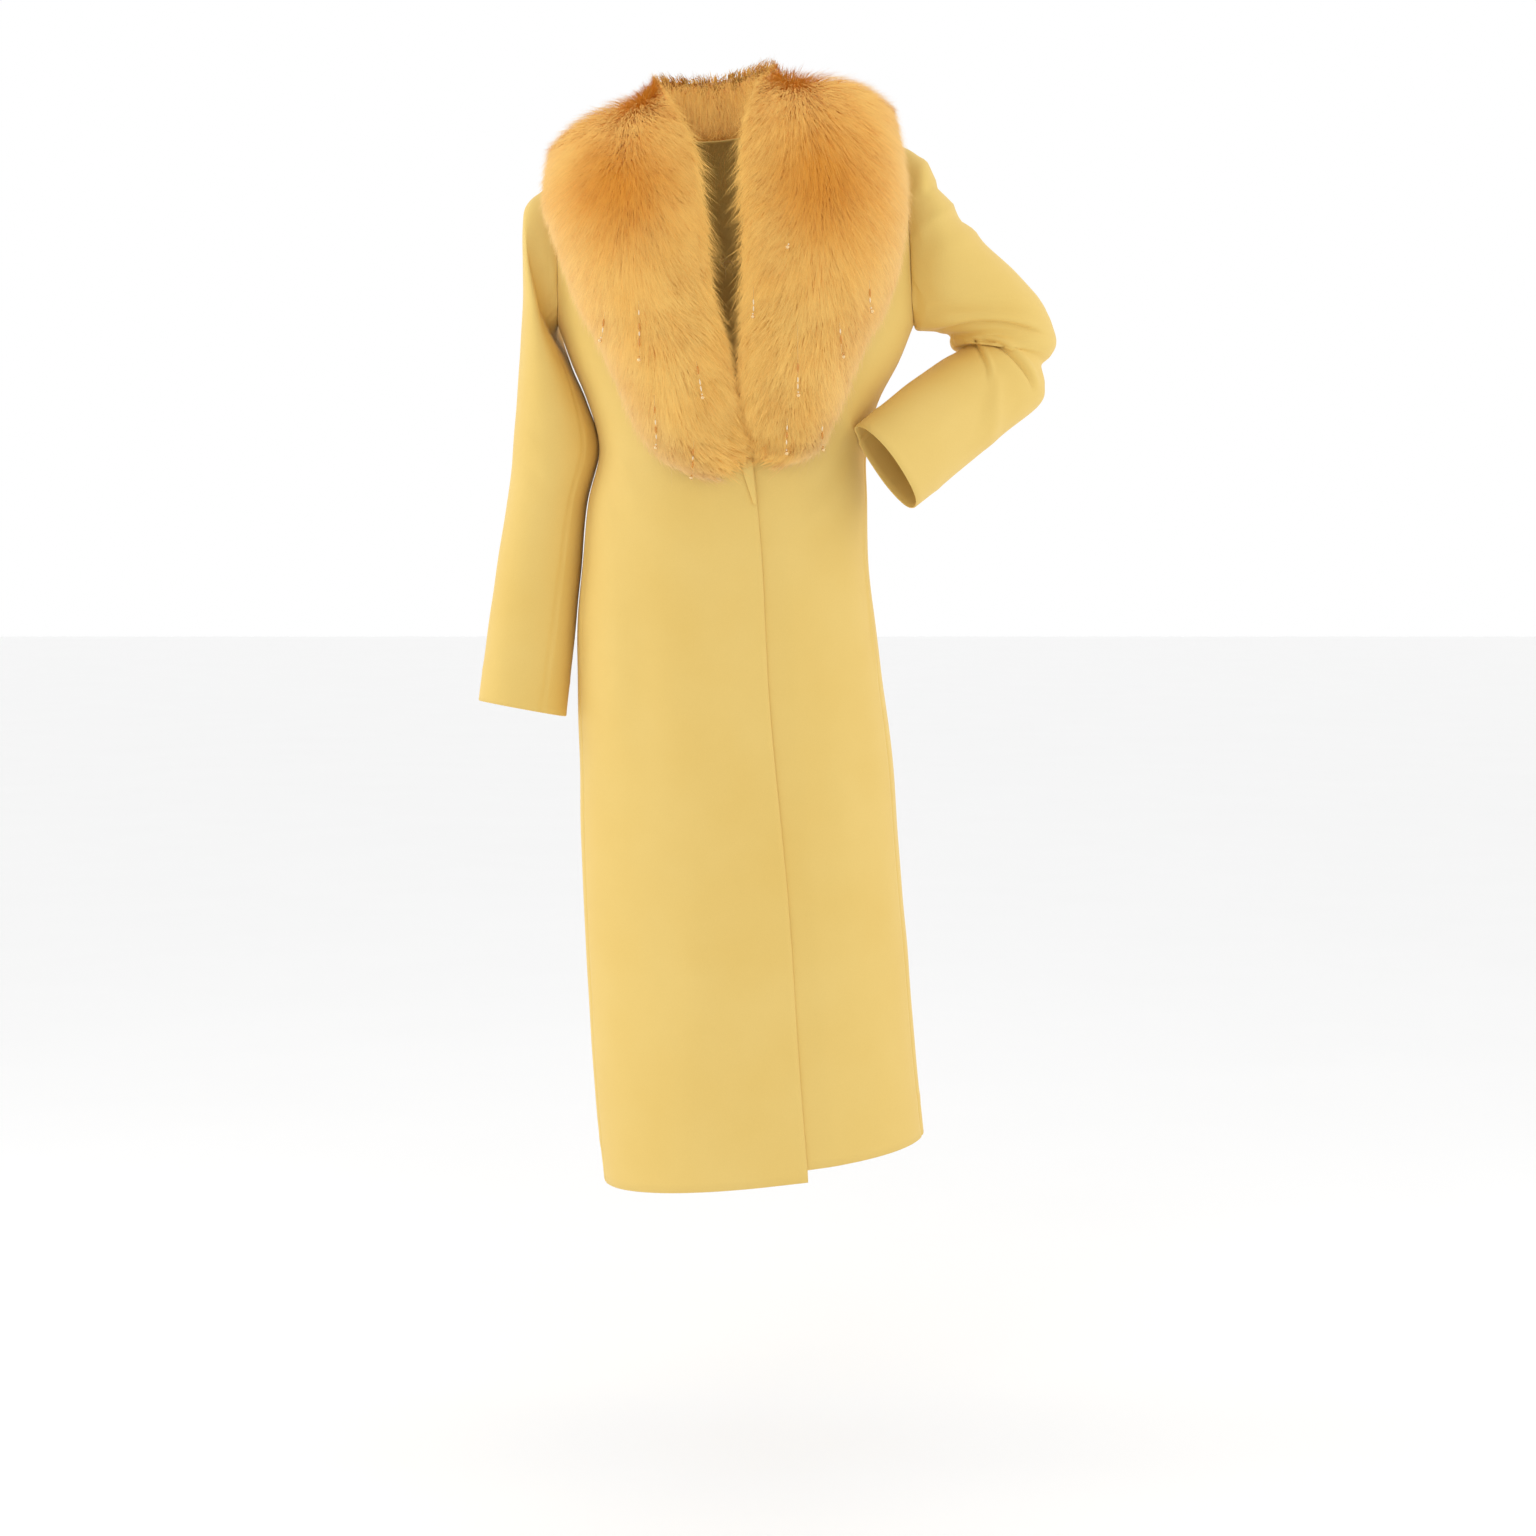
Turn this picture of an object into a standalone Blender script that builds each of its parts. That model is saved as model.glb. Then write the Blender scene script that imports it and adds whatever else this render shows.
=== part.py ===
"""Fur-collar coat: a long cloth coat, right front over left, with a broad fur shawl collar.

It has the hollow form that it has when worn: right sleeve hanging, left sleeve bent with its cuff at the hip.
Axes: +X to the wearer's left, -Y to the front, +Z up. The origin is the middle of the neck's base.

Every piece of the body lies on one form, whose points are told by two angles in degrees. beta goes round the
body: 0 at the wearer's left side, -90 at the centre front, 90 at the centre back. rise is the height: 0 on the
chest line, 90 on the shoulder line, and below 0 so many times DROP under the chest line.
"""
import bmesh
import bpy
import numpy as np

NAME = "fur_collar_coat"

# Cloth and seams, in metres
WALL = 0.002               # coating with its turned edges
SEAM = 0.0003              # each piece stops this far from its seam line
SHOULDER_SEAM = 0.0006     # the same on the shoulder, where the two walls meet at an angle
LAP = 0.0032               # how far the left front lies inside the right one
LAP_FADE = 0.035           # over this width beside the lap it comes back to the form
FUR_SEAT = 0.0022          # between the cloth and the collar, whose facets dip under its curves
POCKET_SEAT = 0.0014       # between the front and the pocket bag
POCKET_BAG = 0.0024        # two layers of bag cloth, pressed flat
POCKET_MOUTH = 0.0022      # how far the front's edge stands away from the seam at the pocket

# Form of the body
CHEST = -0.215             # height of the chest line, level with the bottoms of the armholes
DROP = 0.0025              # metres for each degree of rise below the chest line
SQUARENESS = 2.25          # of the rings: 2 would be an ellipse
FRONT_BEND = 1.8           # squareness of the front from the chest line to the shoulder line
BACK_BEND = 2.3            # and of the back
SHOULDER_SPREAD = 0.040    # half width that the form gains from the chest line to the shoulder line
SHOULDER_SHIFT = -0.006    # and how far its middle moves
HEM = -1.151               # height of the hem at HEM_MIDDLE
HEM_MIDDLE = 0.05
HEM_SLOPE = 0.145          # the hem rises to the wearer's left, over the hip that is out
RIGHT_HEM_DIP = -0.009     # the right front hangs lower at its edge, and the left one higher
LEFT_HEM_DIP = 0.006

# Rings of the body: height, middle, half width, front, back
RINGS = np.array([
    (-1.200, 0.051, 0.187, -0.142, 0.127),
    (-1.070, 0.037, 0.185, -0.137, 0.124),
    (-0.930, 0.027, 0.183, -0.132, 0.122),
    (-0.790, 0.018, 0.180, -0.127, 0.123),
    (-0.700, 0.014, 0.177, -0.124, 0.126),
    (-0.610, 0.007, 0.172, -0.121, 0.127),
    (-0.540, 0.003, 0.167, -0.118, 0.121),
    (-0.476, 0.002, 0.160, -0.114, 0.108),
    (-0.408, 0.005, 0.156, -0.111, 0.093),
    (-0.353, 0.011, 0.149, -0.113, 0.086),
    (-0.297, 0.011, 0.163, -0.124, 0.095),
    (-0.255, 0.013, 0.183, -0.129, 0.107),
    (-0.215, 0.014, 0.198, -0.128, 0.116)])

# Line of the shoulders: across, height
SHOULDERS = np.array([
    (-0.235, -0.086),
    (-0.197, -0.064),
    (-0.140, -0.038),
    (-0.072, -0.008),
    (0.000, 0.008),
    (0.072, 0.012),
    (0.140, 0.002),
    (0.200, -0.018),
    (0.235, -0.036)])

# Side seam: rise, degrees in front of the side
SIDE_SEAM = np.array([(-400.0, 13.0), (-110.0, 13.0), (-60.0, 9.0), (0.0, 3.0)])

# Armhole seam: rise, degrees in front of the side, degrees behind it
ARMHOLE = np.array([
    (0.0, 3.0, -3.0),
    (5.0, 12.0, 8.0),
    (14.0, 18.5, 18.0),
    (30.0, 25.5, 25.0),
    (50.0, 31.5, 31.0),
    (70.0, 36.0, 36.0),
    (90.0, 39.0, 39.0)])

# Front edge of each front below the break: height, across
RIGHT_EDGE = np.array([
    (-1.200, 0.0975),
    (-1.060, 0.0860),
    (-0.840, 0.0710),
    (-0.630, 0.0510),
    (-0.450, 0.0410),
    (-0.363, 0.0330)])
LEFT_EDGE = RIGHT_EDGE - (0.0, 0.064)

# Neck edge of each front above the break: rise, across
BREAK = (-0.363 - CHEST) / DROP
RIGHT_NECK = np.array([
    (BREAK, 0.033),
    (-40.0, 0.004),
    (-20.0, -0.016),
    (0.0, -0.032),
    (30.0, -0.047),
    (60.0, -0.062),
    (90.0, -0.072)])
LEFT_NECK = np.array([
    (BREAK, -0.031),
    (-48.0, 0.008),
    (-36.0, 0.029),
    (-20.0, 0.041),
    (0.0, 0.048),
    (40.0, 0.055),
    (70.0, 0.065),
    (90.0, 0.072)])
NECK_HALF = 0.072          # half width of the back neck
NECK_DROP = 20.0           # rise by which the back neck dips under the shoulder line
NECK_FADE = 3.0            # how fast this dip fades down the back

# Sleeves, from just outside the armhole to the cuff. Each row is a flattened section: across, depth and height
# of its outer edge, the same of its inner edge, then how far it bulges to the front and to the back
SLEEVE_RIGHT = np.array([
    (-0.2130, 0.002, -0.0770, -0.1880, 0.002, -0.2240, 0.060, 0.060),
    (-0.2200, 0.003, -0.1050, -0.1870, 0.003, -0.2380, 0.066, 0.066),
    (-0.2215, 0.004, -0.1800, -0.1840, 0.004, -0.2620, 0.069, 0.069),
    (-0.2290, 0.006, -0.2750, -0.1670, 0.006, -0.2980, 0.066, 0.066),
    (-0.2370, 0.008, -0.3620, -0.1470, 0.008, -0.3450, 0.061, 0.061),
    (-0.2450, 0.006, -0.4200, -0.1545, 0.006, -0.4120, 0.057, 0.057),
    (-0.2560, -0.001, -0.4940, -0.1620, -0.001, -0.4920, 0.053, 0.053),
    (-0.2660, -0.008, -0.5600, -0.1695, -0.008, -0.5700, 0.049, 0.049),
    (-0.2745, -0.016, -0.6320, -0.1770, -0.016, -0.6500, 0.045, 0.045)])
SLEEVE_LEFT = np.array([
    (0.2228, 0.000, -0.0366, 0.2157, -0.002, -0.2190, 0.060, 0.060),
    (0.2544, 0.001, -0.0852, 0.2234, 0.000, -0.2199, 0.062, 0.062),
    (0.2879, 0.006, -0.1217, 0.2309, 0.003, -0.2205, 0.060, 0.060),
    (0.3257, 0.018, -0.1535, 0.2395, 0.009, -0.2210, 0.057, 0.057),
    (0.3580, 0.034, -0.1880, 0.2482, 0.017, -0.2213, 0.054, 0.054),
    (0.3717, 0.046, -0.2146, 0.2558, 0.022, -0.2222, 0.048, 0.048),
    (0.3743, 0.050, -0.2315, 0.2572, 0.023, -0.2292, 0.050, 0.050),
    (0.3672, 0.051, -0.2465, 0.2614, 0.022, -0.2354, 0.050, 0.050),
    (0.3537, 0.050, -0.2606, 0.2739, 0.018, -0.2357, 0.046, 0.046),
    (0.3581, 0.047, -0.2816, 0.2648, 0.012, -0.2420, 0.049, 0.049),
    (0.3520, 0.040, -0.3026, 0.2466, 0.000, -0.2528, 0.049, 0.048),
    (0.3026, 0.010, -0.3412, 0.2098, -0.032, -0.2789, 0.048, 0.042),
    (0.2560, -0.024, -0.3799, 0.1781, -0.060, -0.3038, 0.047, 0.036),
    (0.2078, -0.058, -0.4187, 0.1462, -0.084, -0.3293, 0.046, 0.030)])
SECTION_SQUARENESS = 2.2
SECTION_TURN = 0.5         # share by which the sections turn with a sleeve that runs to the front or the back
ARM_GAP = 0.003            # between a sleeve and the side of the body
SLEEVE_SEAM = 0.0009       # each sleeve piece stops this far from its seam line
# Seams of the sleeves at the armhole and at the cuff, in degrees round the section from its outer edge
FRONT_SEAM = {"right": (152.0, 118.0), "left": (172.0, 184.0)}
BACK_SEAM = (-128.0, -128.0)

# Fur collar. Each row is a section across the fur: where its inner side is sewn to the neck edge and where its
# outer edge lies, as across and turn (degrees from the chest line over the shoulder to the back), then how far
# the fur reaches past the neck edge, how thick it is, and how high its inner edge stands as a share of that
COLLAR_RIGHT = np.array([
    (0.000, 110.0, 0.000, 166.0, 0.016, 0.050, 1.65),
    (-0.034, 107.0, -0.082, 163.0, 0.016, 0.050, 1.60),
    (-0.060, 99.0, -0.148, 150.0, 0.014, 0.052, 1.40),
    (-0.069, 92.0, -0.177, 118.0, 0.015, 0.053, 1.25),
    (-0.068, 80.0, -0.181, 84.0, 0.017, 0.053, 1.10),
    (-0.060, 62.0, -0.182, 58.0, 0.022, 0.051, 0.90),
    (-0.047, 44.0, -0.180, 44.0, 0.025, 0.050, 0.65),
    (-0.043, 30.0, -0.162, 25.0, 0.025, 0.048, 0.50),
    (-0.038, 16.0, -0.145, 8.0, 0.026, 0.047, 0.42),
    (-0.033, 3.0, -0.125, -8.0, 0.026, 0.046, 0.42),
    (-0.024, -13.0, -0.105, -24.0, 0.030, 0.044, 0.42),
    (-0.012, -27.0, -0.092, -38.0, 0.026, 0.043, 0.42),
    (0.001, -41.0, -0.077, -51.0, 0.020, 0.041, 0.42),
    (0.011, -52.0, -0.058, -61.0, 0.016, 0.037, 0.42),
    (0.022, -58.0, -0.030, -67.0, 0.010, 0.026, 0.42),
    (0.026, -61.0, -0.008, -69.5, 0.006, 0.013, 0.42)])
COLLAR_LEFT = np.array([
    (0.000, 110.0, 0.000, 166.0, 0.016, 0.050, 1.65),
    (0.034, 107.0, 0.082, 163.0, 0.016, 0.050, 1.60),
    (0.060, 99.0, 0.148, 150.0, 0.014, 0.052, 1.40),
    (0.069, 92.0, 0.175, 118.0, 0.016, 0.052, 1.20),
    (0.064, 80.0, 0.183, 80.0, 0.022, 0.052, 0.95),
    (0.057, 62.0, 0.187, 58.0, 0.028, 0.051, 0.75),
    (0.051, 44.0, 0.189, 38.0, 0.029, 0.050, 0.60),
    (0.050, 30.0, 0.181, 20.0, 0.028, 0.048, 0.50),
    (0.050, 16.0, 0.168, 5.0, 0.027, 0.046, 0.42),
    (0.049, 0.0, 0.150, -8.0, 0.025, 0.045, 0.42),
    (0.044, -14.0, 0.132, -22.0, 0.025, 0.044, 0.42),
    (0.038, -28.0, 0.120, -36.0, 0.021, 0.042, 0.42),
    (0.038, -41.0, 0.108, -47.0, 0.016, 0.040, 0.42),
    (0.043, -52.0, 0.100, -55.0, 0.014, 0.034, 0.42),
    (0.046, -59.0, 0.084, -60.5, 0.010, 0.026, 0.42),
    (0.043, -61.5, 0.064, -63.5, 0.006, 0.012, 0.42)])
FUR_CROWN = 2.6            # squareness of the fur's section
FUR_LEAN = 1.2             # how fast the height of the inner edge fades outwards
FUR_LIP = 0.018            # width at the outer edge over which the fur hangs free of the cloth
FUR_LIP_RISE = 0.45        # how high it hangs there, as a share of its thickness
FUR_LIP_FADE = 8.0         # how fast that fades inwards
FUR_UNDER_FADE = 1.5       # how fast its underside comes down to the cloth

# Facing that is turned out at the break: rise, width of the strip
FACING = np.array([(-80.0, 0.0040), (-74.0, 0.0075), (-69.0, 0.0105), (-65.0, 0.0125)])
FACING_WALL = 0.0015
FACING_SEAT = 0.0008
FACING_EDGE = 0.0006       # its fold lies this far inside the front's edge

# Pockets: heights of the mouth, then of the bag, and how far the bag reaches round from the seam in degrees
MOUTH = (-0.605, -0.410)
BAG = (-0.660, -0.395)
BAG_REACH = 42.0
BAG_START = 0.4            # it starts so many degrees in front of the seam
BAG_NARROWS = 0.55         # share of its reach that it loses towards its top
BAG_TAPER = 3.0            # how late it loses it

# How finely the pieces are lofted
BODY_ROWS = 18
YOKE_ROWS = 10
BODY_ROWS_GATHER = 1.3     # the rows under the chest line are closer together towards it
YOKE_ROWS_GATHER = 1.5     # and so are those above it
FRONT_COLUMNS = 13
BACK_COLUMNS = (7, 6, 7)   # armhole to neck, across the neck, neck to armhole
SLEEVE_STEPS = 2           # loft rows for each row of a sleeve's table
SLEEVE_SPLIT = 2           # columns of a sleeve for each row of the body at the armhole
SPREAD_OUT = 3.0           # they are evenly spaced after the third part of the sleeve
COLLAR_ROWS = 32
COLLAR_POINTS = 20
FACING_ROWS = 7
FACING_COLUMNS = 3
BAG_ROWS = 9
BAG_COLUMNS = 6
SEAT_POINTS = 41           # points at which the cloth under a section of the fur is read
ROUND_POINTS = 361         # points at which a section of a sleeve is read
FLAT = 1e-9                # a sine under this is none


def glide(table, at):
    """Read a table at places of its first column, on a smooth curve through its rows."""
    place, values = table[:, 0], table[:, 1:]
    slope = np.gradient(values, place, axis=0)
    at = np.clip(np.asarray(at, float), place[0], place[-1])
    row = np.clip(np.searchsorted(place, at) - 1, 0, len(place) - 2)
    span = (place[row + 1] - place[row])[..., None]
    t = (at - place[row])[..., None] / span
    start = (1 + 2 * t) * (1 - t) ** 2 * values[row] + t * (1 - t) ** 2 * span * slope[row]
    end = t * t * (3 - 2 * t) * values[row + 1] + t * t * (t - 1) * span * slope[row + 1]
    return start + end


def spread(start, stop, steps):
    """Evenly spaced values from start to stop, which may be arrays of one value a row."""
    return np.linspace(np.asarray(start, float), np.asarray(stop, float), steps + 1, axis=-1)


def power(value, exponent):
    """A power that keeps the sign."""
    return np.sign(value) * np.abs(value) ** exponent


# ---------------------------------------------------------------- the form

def middle_and_half(rise):
    """Middle and half width of the form at a rise."""
    ring = glide(RINGS, CHEST + np.minimum(rise, 0.0) * DROP)
    up = np.clip(rise, 0.0, 90.0) / 90.0
    return ring[..., 0] + SHOULDER_SHIFT * up, ring[..., 1] + SHOULDER_SPREAD * up


def angle_at(x, rise):
    """Angle from the wearer's left side at which the form is x across."""
    middle, half = middle_and_half(rise)
    return np.degrees(np.arccos(power(np.clip((x - middle) / half, -1.0, 1.0), SQUARENESS / 2)))


def form(beta, rise, bend):
    """Points of the form."""
    beta, rise = np.broadcast_arrays(np.asarray(beta, float), np.asarray(rise, float))
    low = CHEST + np.minimum(rise, 0.0) * DROP
    ring = glide(RINGS, low)
    middle, half = middle_and_half(rise)
    lift = np.radians(np.clip(rise, 0.0, 90.0))
    x = middle + half * power(np.cos(np.radians(beta)), 2 / SQUARENESS)
    across = power(np.sin(np.radians(beta)), 2 / SQUARENESS)
    depth = np.where(across < 0, -ring[..., 2], ring[..., 3])
    y = depth * across * np.maximum(np.cos(lift), 0.0) ** (2 / bend)
    z = low + (glide(SHOULDERS, x)[..., 0] - CHEST) * np.sin(lift) ** (2 / bend)
    return np.stack([x, y, z], -1)


def outward(beta, rise, bend):
    """Unit vectors that point away from the form."""
    step = 0.5
    low = np.clip(np.asarray(rise, float) - step, None, 90.0 - 2 * step)
    round_body = form(beta + step, rise, bend) - form(beta - step, rise, bend)
    up_body = form(beta, low + 2 * step, bend) - form(beta, low, bend)
    normal = np.cross(round_body, up_body)
    return normal / np.linalg.norm(normal, axis=-1, keepdims=True)


def hem_rise(beta):
    """Rise of the level of the hem."""
    x = form(beta, (HEM - CHEST) / DROP, FRONT_BEND)[..., 0]
    return (HEM + HEM_SLOPE * (x - HEM_MIDDLE) - CHEST) / DROP


def body_rises():
    """Rows from the hem, as a share of the way down, and rows from the chest line to the shoulder line."""
    down = np.linspace(1, 0, BODY_ROWS) ** BODY_ROWS_GATHER
    up = 90 * np.linspace(0, 1, YOKE_ROWS + 1)[1:] ** YOKE_ROWS_GATHER
    return down, up


# ---------------------------------------------------------------- meshes

def trim(points, edge, amount):
    """Draw one edge of a grid back along the surface."""
    last, inner = {"bottom": (0, 1), "top": (-1, -2), "first": (0, 1), "last": (-1, -2)}[edge]
    rows = points if edge in ("bottom", "top") else points.swapaxes(0, 1)
    way = rows[inner] - rows[last]
    rows[last] += way / np.linalg.norm(way, axis=-1, keepdims=True) * np.asarray(amount)[..., None]


def material(name, colour, roughness):
    made = bpy.data.materials.new(name)
    made.use_nodes = True
    shader = made.node_tree.nodes["Principled BSDF"]
    shader.inputs["Base Color"].default_value = (*colour, 1.0)
    shader.inputs["Roughness"].default_value = roughness
    shader.inputs["Metallic"].default_value = 0.0
    return made


def add_object(name, mesh, finish):
    made = bpy.data.objects.new(name, mesh)
    made.data.materials.append(finish)
    mesh.shade_smooth()
    bpy.data.collections[NAME].objects.link(made)
    return made


def add_wall(name, points, thickness, finish):
    """A wall of cloth: the grid is its outer side, with rows going up and columns going to the left as seen
    from outside."""
    rows, columns = points.shape[:2]
    shape = bmesh.new()
    corner = [[shape.verts.new(point) for point in row] for row in points]
    for i in range(rows - 1):
        for j in range(columns - 1):
            shape.faces.new((corner[i][j], corner[i][j + 1], corner[i + 1][j + 1], corner[i + 1][j]))
    mesh = bpy.data.meshes.new(name)
    shape.to_mesh(mesh)
    shape.free()
    made = add_object(name, mesh, finish)
    solid = made.modifiers.new("thickness", "SOLIDIFY")
    solid.thickness = thickness
    solid.offset = -1.0
    return made


def add_loft(name, sections, finish):
    """A closed body through sections of equal count, with its ends capped."""
    shape = bmesh.new()
    loops = [[shape.verts.new(point) for point in section] for section in sections]
    for near, far in zip(loops, loops[1:]):
        for k, corner in enumerate(near):
            after = (k + 1) % len(near)
            shape.faces.new((corner, near[after], far[after], far[k]))
    shape.faces.new(loops[0][::-1])
    shape.faces.new(loops[-1])
    bmesh.ops.recalc_face_normals(shape, faces=shape.faces)
    mesh = bpy.data.meshes.new(name)
    shape.to_mesh(mesh)
    shape.free()
    return add_object(name, mesh, finish)


# ---------------------------------------------------------------- body pieces

def seam_angle(rise):
    """Beta of the wearer's left side seam, or of the front of the left armhole above the chest line."""
    below = glide(SIDE_SEAM, rise)[..., 0]
    above = glide(ARMHOLE, rise)[..., 0]
    return -np.where(np.asarray(rise) <= 0, below, above)


def back_seam_angle(rise):
    """The same for the edge of the back."""
    below = -glide(SIDE_SEAM, rise)[..., 0]
    above = glide(ARMHOLE, rise)[..., 1]
    return np.where(np.asarray(rise) <= 0, below, above)


def edge_across(edge, neck, rise):
    """Across of a front's free edge at a rise."""
    return np.where(rise < BREAK, glide(edge, CHEST + rise * DROP)[..., 0], glide(neck, rise)[..., 0])


def front_grid(side, edge, neck, hem_dip):
    """Outer side of a front: rows from the hem to the shoulder seam, columns from the side to the free edge."""
    down, up = body_rises()
    level = np.concatenate([down * (HEM - CHEST) / DROP, up])
    outer = seam_angle(level)
    outer = outer if side > 0 else -180.0 - outer
    free = -angle_at(edge_across(edge, neck, level), level)
    beta = spread(outer, free, FRONT_COLUMNS)
    rise = np.repeat(level[:, None], FRONT_COLUMNS + 1, 1)
    dip = hem_dip / DROP * np.linspace(0, 1, FRONT_COLUMNS + 1) ** 2
    rise[:len(down)] = down[:, None] * (hem_rise(beta[:len(down)]) + dip)
    return beta, rise


def add_front_right(cloth):
    beta, rise = front_grid(-1, RIGHT_EDGE, RIGHT_NECK, RIGHT_HEM_DIP)
    points = form(beta, rise, FRONT_BEND)
    trim_front(points, rise)
    return add_wall("front_right", points, WALL, cloth)


def add_front_left(cloth):
    beta, rise = front_grid(1, LEFT_EDGE, LEFT_NECK, LEFT_HEM_DIP)
    points = form(beta, rise, FRONT_BEND)
    cover = edge_across(RIGHT_EDGE, RIGHT_NECK, rise)
    inside = np.clip((cover + LAP_FADE - points[..., 0]) / LAP_FADE, 0.0, 1.0)
    points -= outward(beta, rise, FRONT_BEND) * (LAP * inside ** 2 * (3 - 2 * inside))[..., None]
    trim_front(points, rise)
    return add_wall("front_left", points[:, ::-1], WALL, cloth)


def trim_front(points, rise):
    height = CHEST + rise[:, 0] * DROP
    mouth = np.clip((height - MOUTH[0]) / (MOUTH[1] - MOUTH[0]), 0.0, 1.0)
    trim(points, "first", SEAM + POCKET_MOUTH * np.sin(np.pi * mouth))
    trim(points, "top", SHOULDER_SEAM)


def add_back(cloth):
    down, up = body_rises()
    level = np.concatenate([down * (HEM - CHEST) / DROP, up])
    outer = back_seam_angle(level)
    neck_left, neck_right = angle_at(NECK_HALF, level), angle_at(-NECK_HALF, level)
    beta = np.concatenate([
        spread(outer, neck_left, BACK_COLUMNS[0])[:, :-1],
        spread(neck_left, neck_right, BACK_COLUMNS[1])[:, :-1],
        spread(neck_right, 180.0 - outer, BACK_COLUMNS[2])], 1)
    rise = np.repeat(level[:, None], beta.shape[1], 1)
    rise[:len(down)] = down[:, None] * hem_rise(beta[:len(down)])
    x = form(beta[-1], 90.0, BACK_BEND)[:, 0]
    dip = NECK_DROP * np.sqrt(np.clip(1 - (x / NECK_HALF) ** 2, 0.0, 1.0))
    rise[len(down):] -= dip * (up[:, None] / 90.0) ** NECK_FADE
    points = form(beta, rise, BACK_BEND)
    trim(points, "first", np.full(len(level), SEAM))
    trim(points, "last", np.full(len(level), SEAM))
    trim(points, "top", SHOULDER_SEAM)
    return add_wall("back", points, WALL, cloth)


def add_facing(cloth):
    """The strip of facing that is turned out where the right front's edge breaks into the collar."""
    level = np.linspace(FACING[0, 0], FACING[-1, 0], FACING_ROWS)
    free = edge_across(RIGHT_EDGE, RIGHT_NECK, level)
    width = glide(FACING, level)[..., 0]
    x = spread(free - width, free - FACING_EDGE, FACING_COLUMNS)
    rise = np.repeat(level[:, None], FACING_COLUMNS + 1, 1)
    beta = -angle_at(x, rise)
    out = outward(beta, rise, FRONT_BEND)
    points = form(beta, rise, FRONT_BEND) + out * (FACING_SEAT + FACING_WALL)
    return add_wall("facing_right", points, FACING_WALL, cloth)


def add_pocket(side, lining):
    """A flat bag inside the front, hanging from the side seam behind the mouth."""
    height = np.linspace(BAG[0], BAG[1], BAG_ROWS)
    level = (height - CHEST) / DROP
    start = seam_angle(level) - BAG_START
    reach = BAG_REACH * (1 - BAG_NARROWS * ((height - BAG[0]) / (BAG[1] - BAG[0])) ** BAG_TAPER)
    beta = spread(start, start - reach, BAG_COLUMNS)
    beta = beta if side > 0 else -180.0 - beta
    rise = np.repeat(level[:, None], BAG_COLUMNS + 1, 1)
    inside = WALL + POCKET_SEAT
    points = form(beta, rise, FRONT_BEND) - outward(beta, rise, FRONT_BEND) * inside
    name = "pocket_left" if side > 0 else "pocket_right"
    return add_wall(name, points[:, ::-1] if side > 0 else points, POCKET_BAG, lining)


# ---------------------------------------------------------------- sleeves

def armhole_loop(side):
    """Corners of an armhole seam: angle round it (0 at the shoulder, 90 at the front, 180 and -180 under the
    arm), then the point."""
    rise = np.append(body_rises()[1][::-1], 0.0)
    seam = glide(ARMHOLE, rise)
    halves = []
    for turn, beta, bend in ((1.0, -seam[:, 0], FRONT_BEND), (-1.0, seam[:, 1], BACK_BEND)):
        beta = beta if side > 0 else np.where(beta > 0, 180.0 - beta, -180.0 - beta)
        points = form(beta, rise, bend)
        length = np.concatenate([[0], np.cumsum(np.linalg.norm(np.diff(points, axis=0), axis=1))])
        halves.append(np.column_stack([turn * length / length[-1] * 180.0, points]))
    front, back = halves
    return np.concatenate([back[::-1], front[1:]])


def sleeve_sections(table, side, angles):
    """Points of every section of a sleeve at angles round it, the armhole first."""
    outer, inner = table[:, 0:3], table[:, 3:6]
    middle = (outer + inner) / 2
    along = np.gradient(middle, axis=0) * (1.0, SECTION_TURN, 1.0)
    forward = np.cross(outer - inner, along)
    forward *= -side / np.linalg.norm(forward, axis=1, keepdims=True)
    c = power(np.cos(np.radians(angles)), 2 / SECTION_SQUARENESS)[None, :, None]
    s = power(np.sin(np.radians(angles)), 2 / SECTION_SQUARENESS)[None, :, None]
    bulge = np.where(s > 0, table[:, None, 6:7], table[:, None, 7:8])
    points = middle[:, None] + (outer - middle)[:, None] * c + forward[:, None] * s * bulge
    loop = armhole_loop(side)
    start = np.stack([np.interp(angles, loop[:, 0], loop[:, k]) for k in (1, 2, 3)], -1)
    return np.concatenate([start[None], points])


def clear_of_body(points, side):
    """Draw sleeve points that would touch the side of the body out to just beside it."""
    ring = glide(RINGS, points[..., 2])
    depth = np.where(points[..., 1] < 0, -ring[..., 2], ring[..., 3])
    share = np.clip(np.abs(points[..., 1]) / depth, 0.0, 1.0)
    half = ring[..., 1] * (1 - share ** SQUARENESS) ** (1 / SQUARENESS)
    beside = side * ring[..., 0] + half + ARM_GAP
    low = points[..., 2] < CHEST
    points[..., 0] = np.where(low, side * np.maximum(side * points[..., 0], beside), points[..., 0])


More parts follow.
